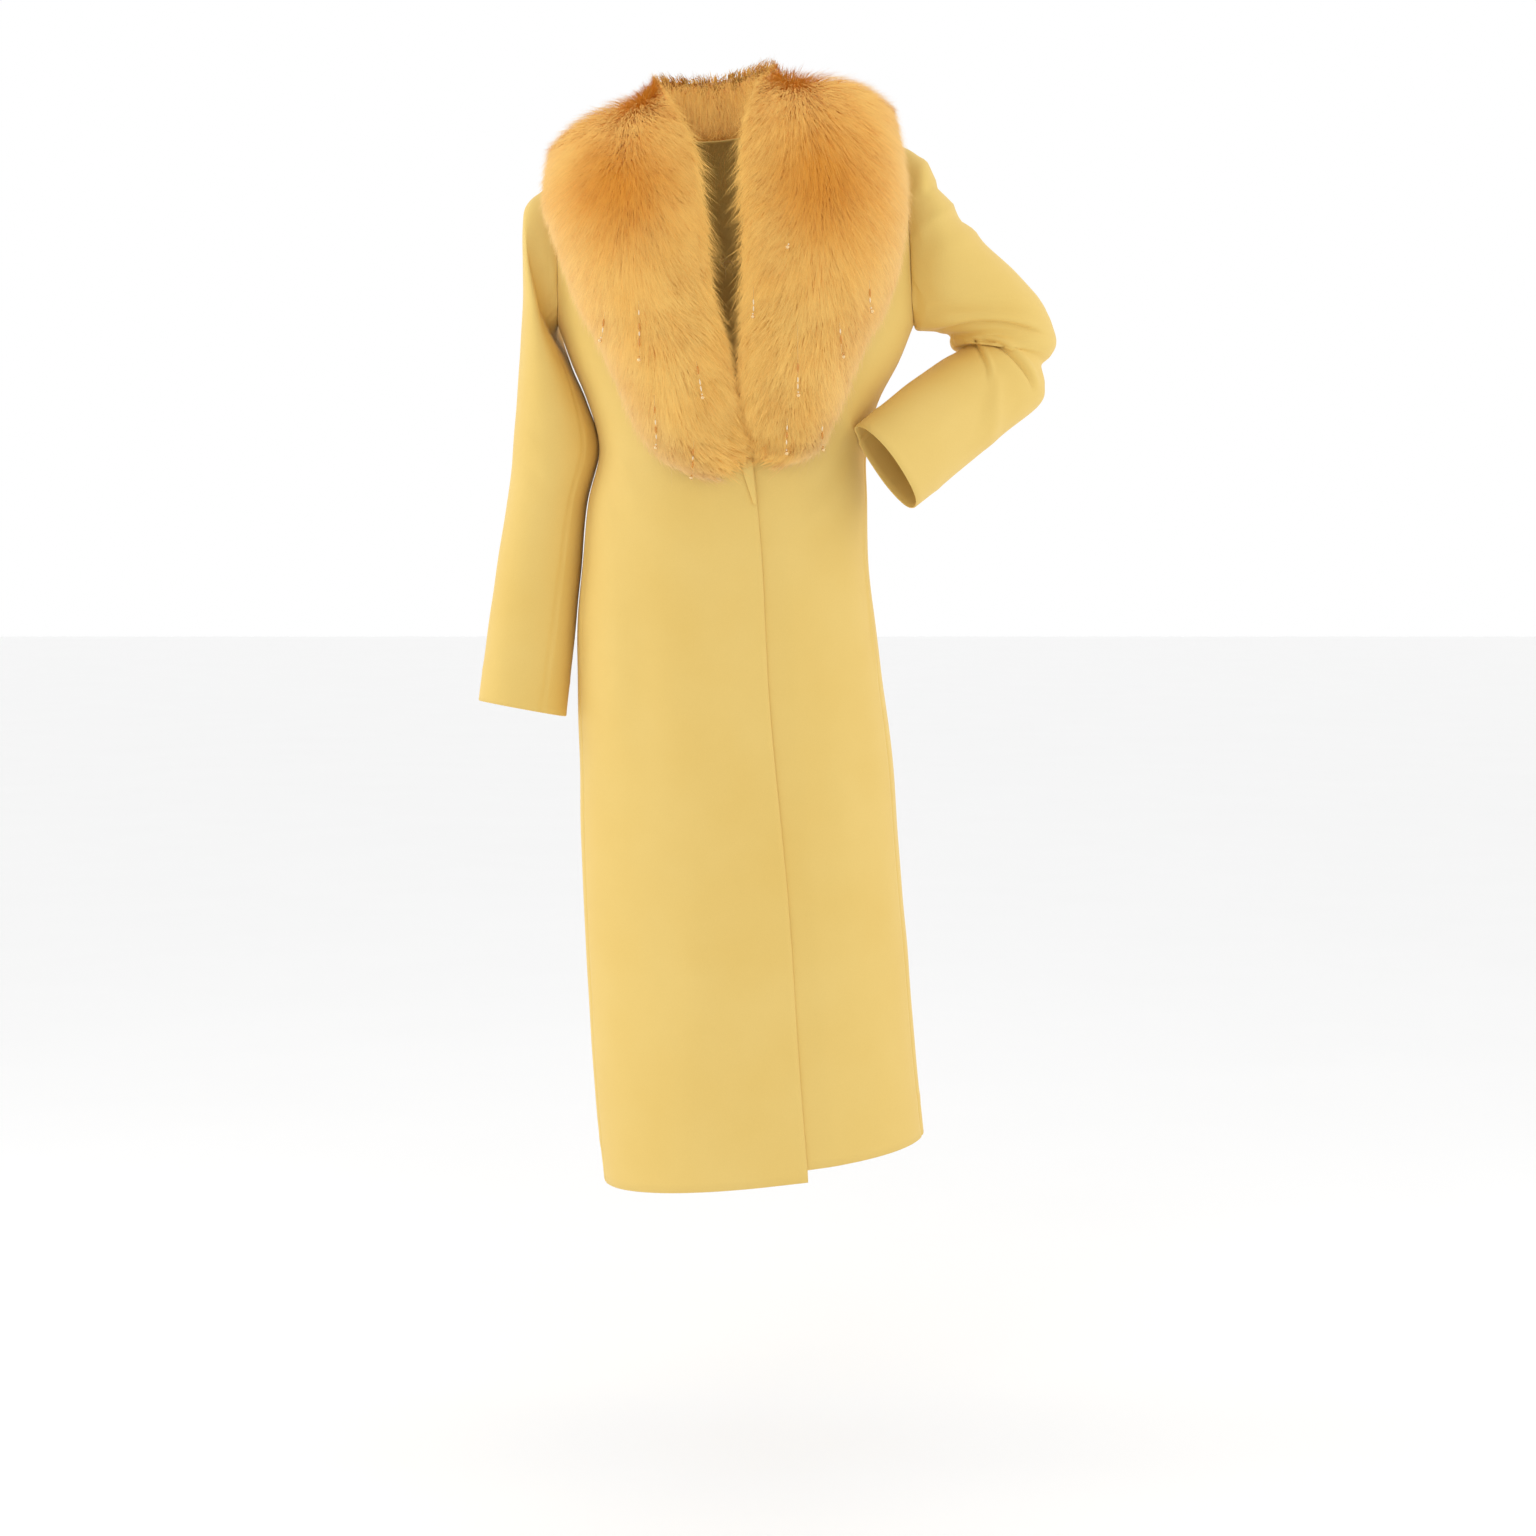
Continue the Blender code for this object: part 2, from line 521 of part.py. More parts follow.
def sleeve_grid(table, side, first, last):
    """Outer side of a sleeve piece between two seams, each given at the armhole and at the cuff. Its columns
    start at the corners of the armhole."""
    angles = np.linspace(-180.0, 180.0, ROUND_POINTS)
    sections = sleeve_sections(table, side, angles)
    place = np.arange(len(sections))
    share = np.linspace(0, 1, SLEEVE_STEPS * place[-1] + 1)
    rows = glide(np.column_stack([place, sections.reshape(len(place), -1)]), share * place[-1])
    rows = rows.reshape(len(share), len(angles), 3)
    corner = armhole_loop(side)[:, 0]
    corner = np.concatenate([corner, corner[1:] + 360.0])
    corner = corner[np.argmin(np.abs(corner - first[0])):np.argmin(np.abs(corner - last[0])) + 1]
    step = np.arange((len(corner) - 1) * SLEEVE_SPLIT + 1) / SLEEVE_SPLIT
    start = np.interp(step, np.arange(len(corner)), corner)
    start = (start - corner[0]) / (corner[-1] - corner[0])
    even = np.linspace(0, 1, len(start))
    across = start + (even - start) * np.clip(SPREAD_OUT * share, 0.0, 1.0)[:, None]
    near = np.interp(share, (0, 1), (corner[0], first[1]))[:, None]
    far = np.interp(share, (0, 1), (corner[-1], last[1]))[:, None]
    wanted = (near + (far - near) * across + 180.0) % 360.0 - 180.0
    points = np.empty(wanted.shape + (3,))
    for i, row in enumerate(rows):
        for k in range(3):
            points[i, :, k] = np.interp(wanted[i], angles, row[:, k])
    loop = armhole_loop(side)
    for k in range(3):
        points[0, :, k] = np.interp(wanted[0], loop[:, 0], loop[:, k + 1])
    return points


def add_sleeve(side, cloth):
    name, table = ("sleeve_left", SLEEVE_LEFT) if side > 0 else ("sleeve_right", SLEEVE_RIGHT)
    front = FRONT_SEAM[name.removeprefix("sleeve_")]
    round_again = tuple(angle + 360.0 for angle in BACK_SEAM)
    for part, first, last in (("upper", BACK_SEAM, front), ("under", front, round_again)):
        points = sleeve_grid(table, side, first, last)
        trim(points, "bottom", 2 * SEAM)
        trim(points, "first", np.full(len(points), SLEEVE_SEAM))
        trim(points, "last", np.full(len(points), SLEEVE_SEAM))
        clear_of_body(points[1:], side)
        add_wall(f"{name}_{part}", points if side > 0 else points[:, ::-1], WALL, cloth)


# ---------------------------------------------------------------- collar

def collar_section(row):
    """Outline of the fur where a row of the collar's table crosses it."""
    neck_x, neck_turn, outer_x, outer_turn, reach, thick, stand = row
    share = np.linspace(0, 1, SEAT_POINTS)
    x = neck_x + (outer_x - neck_x) * share
    turn = neck_turn + (outer_turn - neck_turn) * share
    behind = turn > 90.0
    rise = np.where(behind, 180.0 - turn, turn)
    beta = angle_at(x, rise) * np.where(behind, 1.0, -1.0)
    bend = np.where(behind, BACK_BEND, FRONT_BEND)
    seat = form(beta, rise, bend)
    out = outward(beta, rise, bend)
    width = np.concatenate([[0], np.cumsum(np.linalg.norm(np.diff(seat, axis=0), axis=1))])
    sewn = width[-1] - FUR_LIP
    theta = np.radians(np.linspace(0, 360, COLLAR_POINTS, endpoint=False))
    side = np.cos(theta)
    place = (width[-1] - reach) / 2 + (width[-1] + reach) / 2 * side
    edges = stand * ((1 - side) / 2) ** FUR_LEAN + FUR_LIP_RISE * ((1 + side) / 2) ** FUR_LIP_FADE
    crown = np.abs(np.sin(theta)) ** (2 / FUR_CROWN)
    inner_lip = np.clip(-place / reach, 0.0, 1.0)
    outer_lip = np.clip((place - sewn) / FUR_LIP, 0.0, 1.0)
    under = stand * inner_lip ** FUR_UNDER_FADE + FUR_LIP_RISE * outer_lip ** FUR_UNDER_FADE
    height = FUR_SEAT + thick * np.where(np.sin(theta) > FLAT, edges + (1 - edges) * crown, under)
    held = np.clip(place, 0.0, sewn)
    base = np.stack([np.interp(held, width, seat[:, k]) for k in range(3)], -1)
    normal = np.stack([np.interp(held, width, out[:, k]) for k in range(3)], -1)
    last = np.searchsorted(width, sewn)
    inward = (seat[0] - seat[1]) / np.linalg.norm(seat[0] - seat[1])
    onward = (seat[last] - seat[last - 1]) / np.linalg.norm(seat[last] - seat[last - 1])
    past = np.clip(-place, 0.0, None)[:, None] * inward + np.clip(place - sewn, 0.0, None)[:, None] * onward
    return base + normal * height[:, None] + past


def add_collar(side, fur):
    name, table = ("collar_left", COLLAR_LEFT) if side > 0 else ("collar_right", COLLAR_RIGHT)
    place = np.linspace(0, len(table) - 1, COLLAR_ROWS)
    rows = glide(np.column_stack([np.arange(len(table)), table]), place)
    sections = [collar_section(row) for row in rows]
    sections[0][:, 0] += side * SEAM
    return add_loft(name, sections, fur)


# ---------------------------------------------------------------- the coat

def main():
    for old in list(bpy.data.objects):
        bpy.data.objects.remove(old, do_unlink=True)
    bpy.context.scene.collection.children.link(bpy.data.collections.new(NAME))
    cloth = material("wool_crepe", (0.83, 0.60, 0.19), 0.75)
    lining = material("pocket_lining", (0.80, 0.60, 0.25), 0.5)
    fur = material("dyed_fox_fur", (0.80, 0.42, 0.10), 0.6)
    add_back(cloth)
    add_front_right(cloth)
    add_front_left(cloth)
    add_facing(cloth)
    for side in (-1, 1):
        add_sleeve(side, cloth)
        add_pocket(side, lining)
        add_collar(side, fur)


main()
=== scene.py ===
"""The looks of the fur-collar coat: cloth shells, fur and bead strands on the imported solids."""
import math

import bpy
import numpy as np
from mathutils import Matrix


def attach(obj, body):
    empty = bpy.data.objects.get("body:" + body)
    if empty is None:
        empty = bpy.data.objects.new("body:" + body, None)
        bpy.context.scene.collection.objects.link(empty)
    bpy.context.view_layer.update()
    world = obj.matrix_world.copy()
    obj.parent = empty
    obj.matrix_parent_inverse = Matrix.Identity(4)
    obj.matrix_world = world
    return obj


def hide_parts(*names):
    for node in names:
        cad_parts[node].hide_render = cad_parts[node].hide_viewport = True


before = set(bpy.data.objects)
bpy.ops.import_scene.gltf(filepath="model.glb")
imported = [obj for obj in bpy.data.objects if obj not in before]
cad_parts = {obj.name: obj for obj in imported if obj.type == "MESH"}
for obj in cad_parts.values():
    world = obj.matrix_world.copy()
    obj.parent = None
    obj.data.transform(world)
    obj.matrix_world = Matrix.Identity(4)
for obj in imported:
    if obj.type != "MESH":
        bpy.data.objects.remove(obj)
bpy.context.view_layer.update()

# ---------------------------------------------------------------- sizes, the same as the solids have
# Metres and degrees, where a table isn't divided by its own units

WALL = 0.002
LAP = 0.0032
LAP_FADE = 0.035
FUR_SEAT = 0.0022
POCKET_SEAT = 0.0014
POCKET_BAG = 0.0024
POCKET_MOUTH = 0.0040      # how far its edge is drawn back
POCKET_SWELL = 0.0022      # and how far it swells
HEM_TURN = 0.042           # depth of the turned hem, whose edge shows as a faint ridge
CUFF_TURN = 0.036
TURN_RIDGE = 0.0005
UNEVEN = 0.0004            # how far all cloth is from smooth
PANEL_EDGE = 0.010         # width at a side seam over which folds and unevenness fade
ROWS_DOWN, ROWS_UP = 104, 34
FRONT_COLUMNS = 58
BACK_COLUMNS = (30, 28)    # beside the neck, and across it
CHEST = -0.215
DROP = 0.0025
SQUARENESS = 2.25
FRONT_BEND = 1.8
BACK_BEND = 2.3
SHOULDER_SPREAD = 0.040
SHOULDER_SHIFT = -0.006
HEM = -1.151
HEM_MIDDLE = 0.05
HEM_SLOPE = 0.145
RIGHT_HEM_DIP = -0.009
LEFT_HEM_DIP = 0.006

# Rings of the body: height, middle, half width, front, back
RINGS = np.array([
    (-1200, 51, 187, -142, 127),
    (-1070, 37, 185, -137, 124),
    (-930, 27, 183, -132, 122),
    (-790, 18, 180, -127, 123),
    (-700, 14, 177, -124, 126),
    (-610, 7, 172, -121, 127),
    (-540, 3, 167, -118, 121),
    (-476, 2, 160, -114, 108),
    (-408, 5, 156, -111, 93),
    (-353, 11, 149, -113, 86),
    (-297, 11, 163, -124, 95),
    (-255, 13, 183, -129, 107),
    (-215, 14, 198, -128, 116)]) / 1000

# Line of the shoulders: across, height
SHOULDERS = np.array([
    (-235, -86),
    (-197, -64),
    (-140, -38),
    (-72, -8),
    (0, 8),
    (72, 12),
    (140, 2),
    (200, -18),
    (235, -36)]) / 1000

# Side seam: rise, degrees in front of the side
SIDE_SEAM = np.array([(-400.0, 13.0), (-110.0, 13.0), (-60.0, 9.0), (0.0, 3.0)])

# Armhole seam: rise, degrees in front of the side, degrees behind it
ARMHOLE = np.array([
    (0.0, 3.0, -3.0),
    (5.0, 12.0, 8.0),
    (14.0, 18.5, 18.0),
    (30.0, 25.5, 25.0),
    (50.0, 31.5, 31.0),
    (70.0, 36.0, 36.0),
    (90.0, 39.0, 39.0)])

# Front edge of each front below the break: height, across
RIGHT_EDGE = np.array([
    (-12000, 975),
    (-10600, 860),
    (-8400, 710),
    (-6300, 510),
    (-4500, 410),
    (-3630, 330)]) / 10000
LEFT_EDGE = RIGHT_EDGE - (0.0, 0.064)

# Neck edge of each front above the break: rise, across
BREAK = (-0.363 - CHEST) / DROP
RIGHT_NECK = np.array([
    (BREAK, 0.033),
    (-40.0, 0.004),
    (-20.0, -0.016),
    (0.0, -0.032),
    (30.0, -0.047),
    (60.0, -0.062),
    (90.0, -0.072)])
LEFT_NECK = np.array([
    (BREAK, -0.031),
    (-48.0, 0.008),
    (-36.0, 0.029),
    (-20.0, 0.041),
    (0.0, 0.048),
    (40.0, 0.055),
    (70.0, 0.065),
    (90.0, 0.072)])
NECK_HALF = 0.072          # half width of the back neck
NECK_DROP = 20.0           # rise by which the back neck dips under the shoulder line

# Sleeves, from just outside the armhole to the cuff. Each row is a flattened section: across, depth and height
# of its outer edge, the same of its inner edge, then how far it bulges to the front and to the back
SLEEVE_RIGHT = np.array([
    (-2130, 20, -770, -1880, 20, -2240, 600, 600),
    (-2200, 30, -1050, -1870, 30, -2380, 660, 660),
    (-2215, 40, -1800, -1765, 40, -2620, 690, 690),
    (-2290, 60, -2750, -1555, 60, -2980, 660, 660),
    (-2370, 80, -3620, -1420, 80, -3450, 610, 610),
    (-2450, 60, -4200, -1545, 60, -4120, 570, 570),
    (-2560, -10, -4940, -1620, -10, -4920, 530, 530),
    (-2660, -80, -5600, -1695, -80, -5700, 490, 490),
    (-2745, -160, -6320, -1770, -160, -6500, 450, 450)]) / 10000
SLEEVE_LEFT = np.array([
    (2228, 0, -366, 2157, -20, -2190, 600, 600),
    (2544, 10, -852, 2234, 0, -2199, 620, 620),
    (2879, 60, -1217, 2309, 30, -2205, 600, 600),
    (3257, 180, -1535, 2395, 90, -2210, 570, 570),
    (3580, 340, -1880, 2482, 170, -2213, 540, 540),
    (3717, 460, -2146, 2558, 220, -2222, 480, 480),
    (3743, 500, -2315, 2572, 230, -2292, 500, 500),
    (3672, 510, -2465, 2614, 220, -2354, 500, 500),
    (3537, 500, -2606, 2739, 180, -2357, 460, 460),
    (3581, 470, -2816, 2648, 120, -2420, 490, 490),
    (3520, 400, -3026, 2466, 0, -2528, 490, 480),
    (3026, 100, -3412, 2098, -320, -2789, 480, 420),
    (2560, -240, -3799, 1781, -600, -3038, 470, 360),
    (2078, -580, -4187, 1462, -840, -3293, 460, 300)]) / 10000
SECTION_SQUARENESS = 2.2
SECTION_TURN = 0.5         # share by which the sections turn with a sleeve that runs to the front or the back
ARM_GAP = 0.003            # between a sleeve and the side of the body
TOUCH = 0.0016             # the same where the hanging sleeve all but touches it
# Seams of the sleeves at the armhole and at the cuff, in degrees round the section from its outer edge
FRONT_SEAM = {"right": (152.0, 118.0), "left": (172.0, 184.0)}
BACK_SEAM = (-128.0, -128.0)

# Fur collar. Each row is a section across the fur: where its inner side is sewn to the neck edge and where its
# outer edge lies, as across and turn (degrees from the chest line over the shoulder to the back), then how far
# the fur reaches past the neck edge, how thick it is, and how high its inner edge stands as a share of that
COLLAR_UNITS = (1000, 1, 1000, 1, 1000, 1000, 100)
COLLAR_RIGHT = np.array([
    (0, 110, 0, 166, 16, 50, 165),
    (-34, 107, -82, 163, 16, 50, 160),
    (-60, 99, -148, 150, 14, 52, 140),
    (-69, 92, -177, 118, 15, 53, 125),
    (-68, 80, -181, 84, 17, 53, 110),
    (-60, 62, -182, 58, 22, 51, 90),
    (-47, 44, -180, 44, 25, 50, 65),
    (-43, 30, -162, 25, 25, 48, 50),
    (-38, 16, -145, 8, 26, 47, 42),
    (-33, 3, -125, -8, 26, 46, 42),
    (-24, -13, -105, -24, 30, 44, 42),
    (-12, -27, -92, -38, 26, 43, 42),
    (1, -41, -77, -51, 20, 41, 42),
    (11, -52, -58, -61, 16, 37, 42),
    (22, -58, -30, -67, 10, 26, 42),
    (26, -61, -8, -69.5, 6, 13, 42)]) / COLLAR_UNITS
COLLAR_LEFT = np.array([
    (0, 110, 0, 166, 16, 50, 165),
    (34, 107, 82, 163, 16, 50, 160),
    (60, 99, 148, 150, 14, 52, 140),
    (69, 92, 175, 118, 16, 52, 120),
    (64, 80, 183, 80, 22, 52, 95),
    (57, 62, 187, 58, 28, 51, 75),
    (51, 44, 189, 38, 29, 50, 60),
    (50, 30, 181, 20, 28, 48, 50),
    (50, 16, 168, 5, 27, 46, 42),
    (49, 0, 150, -8, 25, 45, 42),
    (44, -14, 132, -22, 25, 44, 42),
    (38, -28, 120, -36, 21, 42, 42),
    (38, -41, 108, -47, 16, 40, 42),
    (43, -52, 100, -55, 14, 34, 42),
    (46, -59, 84, -60.5, 10, 26, 42),
    (43, -61.5, 64, -63.5, 6, 12, 42)]) / COLLAR_UNITS
FUR_CROWN = 2.6            # squareness of the fur's section
FUR_LEAN = 1.2             # how fast the height of the inner edge fades outwards
FUR_LIP = 0.018            # width at the outer edge over which the fur hangs free of the cloth
FUR_LIP_RISE = 0.45        # how high it hangs there, as a share of its thickness

# Facing that is turned out at the break: rise, width of the strip
FACING = np.array([(-80.0, 0.0040), (-74.0, 0.0075), (-69.0, 0.0105), (-65.0, 0.0125)])
FACING_WALL = 0.0015
FACING_SEAT = 0.0008

# Pockets: heights of the mouth, then of the bag, and how far the bag reaches round from the seam in degrees
MOUTH = (-0.605, -0.410)
BAG = (-0.660, -0.395)
BAG_REACH = 42.0

# ---------------------------------------------------------------- folds and creases, as the photograph shows

# Folds of the body. side -1 is the front and 1 the back; then across and height of both ends, half width, how
# high the ridge is (a trough is negative) and how far its middle bows sideways
FOLD_UNITS = (1,) + (10000,) * 7
BODY_FOLDS = np.array([
    (-1, 1520, -2900, 940, -3950, 100, 22, 60),
    (-1, 1460, -3250, 880, -4250, 90, -20, 70),
    (-1, 1400, -3620, 760, -4520, 100, 16, 80),
    (-1, 1280, -4000, 700, -4800, 120, -12, 60),
    (-1, 1300, -4300, 1500, -6000, 160, 20, 40),
    (-1, -1180, -3300, -820, -4300, 100, 16, -50),
    (-1, -1320, -3720, -940, -4550, 100, -16, -50),
    (-1, -1180, -4700, -1280, -7200, 180, 22, 50),
    (-1, -860, -5000, -1000, -8600, 200, -14, 40),
    (-1, 1100, -5600, 1500, -10200, 240, 20, 60),
    (-1, 620, -7000, 860, -11400, 220, -14, -40),
    (-1, -340, -8200, -400, -11650, 240, 14, 40),
    (-1, 60, -5200, 220, -9000, 180, 10, 30),
    (1, 1200, -3000, 500, -3720, 120, 30, 100),
    (1, -1160, -2920, -360, -3620, 110, 26, 120),
    (1, 1340, -3450, 300, -3920, 100, -30, 80),
    (1, -1280, -3520, -520, -3980, 110, -24, 90),
    (1, 1100, -3950, 440, -4200, 90, 24, 60),
    (1, -1060, -4040, -200, -4300, 90, 20, 50),
    (1, 1000, -5600, 1380, -11200, 260, 30, 60),
    (1, 280, -6400, 520, -11400, 300, -26, 80),
    (1, -500, -6000, -520, -11500, 240, 28, -70),
    (1, -1160, -5200, -1120, -9600, 220, -22, 50),
    (1, 1500, -2100, 1220, -3000, 120, 22, 40),
    (1, -1460, -2220, -1240, -3100, 130, 20, -40)]) / FOLD_UNITS

# Folds of the sleeves, the same
RIGHT_FOLDS = np.array([
    (-1, -2140, -1200, -2120, -2900, 100, 20, 40),
    (-1, -1900, -1500, -1880, -2600, 80, -18, -30),
    (-1, -2040, -3000, -2220, -4500, 120, -14, 50),
    (-1, -2320, -3300, -1960, -3720, 90, 14, 40),
    (-1, -2360, -3600, -1900, -4040, 100, -14, 50),
    (-1, -2440, -4800, -2560, -6400, 120, 12, 30),
    (1, -2220, -1500, -2060, -3300, 120, 22, 40),
    (1, -2320, -3200, -1680, -3520, 90, -24, 60),
    (1, -2360, -3520, -1700, -3920, 100, 22, 60),
    (1, -2400, -3920, -1800, -4240, 80, -16, 40),
    (1, -2140, -4400, -2360, -6200, 140, 16, -40)]) / FOLD_UNITS
LEFT_FOLDS = np.array([
    (0, 2260, -200, 2160, -780, 75, 34, 0),
    (0, 2620, -500, 2080, -860, 65, -34, 0),
    (0, 2720, -620, 2080, -1240, 80, 36, 20),
    (0, 2920, -900, 2160, -1160, 70, -26, 0),
    (0, 3060, -920, 2160, -1520, 95, 22, 30),
    (-1, 3760, -1960, 2240, -2050, 75, -36, 80),
    (-1, 3600, -1800, 2260, -1870, 100, 24, 60),
    (-1, 3040, -2680, 2920, -3560, 80, 46, 20),
    (-1, 2860, -2900, 2780, -3460, 80, -14, 20),
    (-1, 3300, -2900, 3060, -3460, 80, -12, 20),
    (-1, 2620, -3000, 2140, -3560, 120, 12, 40),
    (1, 2620, -820, 2400, -1500, 90, 20, 40),
    (1, 3500, -1900, 2620, -2020, 100, -26, 50),
    (1, 3580, -2220, 2900, -2220, 60, 26, 30),
    (1, 3500, -2500, 2920, -2400, 60, -30, 30),
    (1, 3400, -2860, 2860, -2620, 80, 24, 40),
    (1, 3180, -3160, 2520, -2860, 100, -20, 40)]) / FOLD_UNITS

# Sharp creases of the bent sleeve, as curves: number, side as above, across, height, half width, depth, and how
# far the cloth swells on the left of the curve
CREASE_UNITS = (1, 1) + (10000,) * 5
CREASES = np.array([
    (1, -1, 2250, -2240, 22, 34, 30),
    (1, -1, 2567, -2194, 24, 50, 36),
    (1, -1, 2907, -2162, 24, 48, 34),
    (1, -1, 3260, -2171, 22, 40, 26),
    (1, -1, 3620, -2246, 18, 0, 0),
    (2, -1, 2740, -2318, 18, 10, 6),
    (2, -1, 2955, -2331, 22, 40, 26),
    (2, -1, 3137, -2414, 24, 52, 34),
    (2, -1, 3337, -2616, 24, 50, 32),
    (2, -1, 3438, -2785, 22, 26, 20),
    (2, -1, 3450, -2890, 18, 0, 0),
    (3, -1, 2800, -2318, 16, 20, 12),
    (3, -1, 2856, -2429, 18, 38, 24),
    (3, -1, 2924, -2627, 18, 26, 20),
    (3, -1, 2932, -2830, 18, 0, 0),
    (4, 1, 2500, -2260, 24, 36, 26),
    (4, 1, 3000, -2200, 26, 46, 30),
    (4, 1, 3560, -2290, 20, 0, 0),
    (5, 1, 2700, -2360, 20, 16, 10),
    (5, 1, 3060, -2450, 26, 44, 30),
    (5, 1, 3460, -2680, 20, 0, 0)]) / CREASE_UNITS

# Threads of beads, in the fur: side as above, across and height of the top and of the drop at the lower end
BEAD_UNITS = (1, 1000, 1000, 1000, 1000)
BEADS = np.array([
    (-1, 158, -28, 174, -69),
    (-1, 76, -21, 65, -62),
    (-1, 98, -55, 70, -151),
    (-1, 156, -188, 157, -214),
    (-1, 125, -234, 127, -262),
    (-1, 81, -247, 81, -303),
    (-1, 70, -333, 69, -361),
    (-1, 106, -332, 106, -355),
    (-1, 36, -197, 36, -223),
    (-1, -122, -220, -125, -243),
    (-1, -85, -218, -84, -266),
    (-1, -24, -276, -19, -306),
    (-1, -69, -313, -67, -355),
    (-1, -29, -357, -31, -385),
    (1, -110, -40, -114, -78),
    (1, -60, -20, -56, -70),
    (1, 40, -60, 44, -104),
    (1, 105, -30, 112, -66),
    (1, 6, -6, 4, -40)]) / BEAD_UNITS


def glide(table, at):
    """Read a table at places of its first column, on a smooth curve through its rows."""
    place, values = table[:, 0], table[:, 1:]
    slope = np.gradient(values, place, axis=0)
    at = np.clip(np.asarray(at, float), place[0], place[-1])
    row = np.clip(np.searchsorted(place, at) - 1, 0, len(place) - 2)
    span = (place[row + 1] - place[row])[..., None]
    t = (at - place[row])[..., None] / span
    start = (1 + 2 * t) * (1 - t) ** 2 * values[row] + t * (1 - t) ** 2 * span * slope[row]
    end = t * t * (3 - 2 * t) * values[row + 1] + t * t * (t - 1) * span * slope[row + 1]
    return start + end


def spread(start, stop, steps):
    """Evenly spaced values from start to stop, which may be arrays of one value a row."""
    return np.linspace(np.asarray(start, float), np.asarray(stop, float), steps + 1, axis=-1)


def power(value, exponent):
    """A power that keeps the sign."""
    return np.sign(value) * np.abs(value) ** exponent


def bell(off, width):
    """1 at no distance, fading to nothing over about twice a width."""
    return np.exp(-(off / width) ** 2)


def limit(value):
    """A value kept between 0 and 1."""
    return np.clip(value, 0.0, 1.0)


def unit(vectors):
    """Vectors of length 1."""
    return vectors / np.maximum(np.linalg.norm(vectors, axis=-1, keepdims=True), 1e-12)


def lengths(line):
    """Distance of each point of a line from its first, along it."""
    return np.concatenate([[0], np.cumsum(np.linalg.norm(np.diff(line, axis=0), axis=1))])


def read(line, far, place):
    """A line's values at places, where its points are far along it."""
    return np.stack([np.interp(place, far, line[:, k]) for k in range(3)], -1)


# ---------------------------------------------------------------- the form

def middle_and_half(rise):
    """Middle and half width of the form at a rise."""
    ring = glide(RINGS, CHEST + np.minimum(rise, 0.0) * DROP)
    up = np.clip(rise, 0.0, 90.0) / 90.0
    return ring[..., 0] + SHOULDER_SHIFT * up, ring[..., 1] + SHOULDER_SPREAD * up


def angle_at(x, rise):
    """Angle from the wearer's left side at which the form is x across."""
    middle, half = middle_and_half(rise)
    return np.degrees(np.arccos(power(np.clip((x - middle) / half, -1.0, 1.0), SQUARENESS / 2)))


def form(beta, rise, bend):
    """Points of the form."""
    beta, rise = np.broadcast_arrays(np.asarray(beta, float), np.asarray(rise, float))
    low = CHEST + np.minimum(rise, 0.0) * DROP
    ring = glide(RINGS, low)
    middle, half = middle_and_half(rise)
    lift = np.radians(np.clip(rise, 0.0, 90.0))
    x = middle + half * power(np.cos(np.radians(beta)), 2 / SQUARENESS)
    across = power(np.sin(np.radians(beta)), 2 / SQUARENESS)
    depth = np.where(across < 0, -ring[..., 2], ring[..., 3])
    y = depth * across * np.maximum(np.cos(lift), 0.0) ** (2 / bend)
    z = low + (glide(SHOULDERS, x)[..., 0] - CHEST) * np.sin(lift) ** (2 / bend)
    return np.stack([x, y, z], -1)


def outward(beta, rise, bend):
    """Unit vectors that point away from the form."""
    step = 0.5
    low = np.clip(np.asarray(rise, float) - step, None, 90.0 - 2 * step)
    round_body = form(beta + step, rise, bend) - form(beta - step, rise, bend)
    up_body = form(beta, low + 2 * step, bend) - form(beta, low, bend)
    return unit(np.cross(round_body, up_body))


def hem_rise(beta):
    """Rise of the level of the hem."""
    x = form(beta, (HEM - CHEST) / DROP, FRONT_BEND)[..., 0]
    return (HEM + HEM_SLOPE * (x - HEM_MIDDLE) - CHEST) / DROP


def seam_angle(rise):
    """Beta of the wearer's left side seam, or of the front of the left armhole above the chest line."""
    below = glide(SIDE_SEAM, rise)[..., 0]
    above = glide(ARMHOLE, rise)[..., 0]
    return -np.where(np.asarray(rise) <= 0, below, above)


def back_seam_angle(rise):
    """The same for the edge of the back."""
    below = -glide(SIDE_SEAM, rise)[..., 0]
    above = glide(ARMHOLE, rise)[..., 1]
    return np.where(np.asarray(rise) <= 0, below, above)


def edge_across(edge, neck, rise):
    """Across of a front's free edge at a rise."""
    return np.where(rise < BREAK, glide(edge, CHEST + rise * DROP)[..., 0], glide(neck, rise)[..., 0])


def armhole_loop(side):
    """Corners of an armhole seam: angle round it (0 at the shoulder, 90 at the front, 180 and -180 under the
    arm), then the point."""
    rise = np.append(dense_rises()[1][::-1], 0.0)
    seam = glide(ARMHOLE, rise)
    halves = []
    for turn, beta, bend in ((1.0, -seam[:, 0], FRONT_BEND), (-1.0, seam[:, 1], BACK_BEND)):
        beta = beta if side > 0 else np.where(beta > 0, 180.0 - beta, -180.0 - beta)
        points = form(beta, rise, bend)
        length = lengths(points)
        halves.append(np.column_stack([turn * length / length[-1] * 180.0, points]))
    front, back = halves
    return np.concatenate([back[::-1], front[1:]])


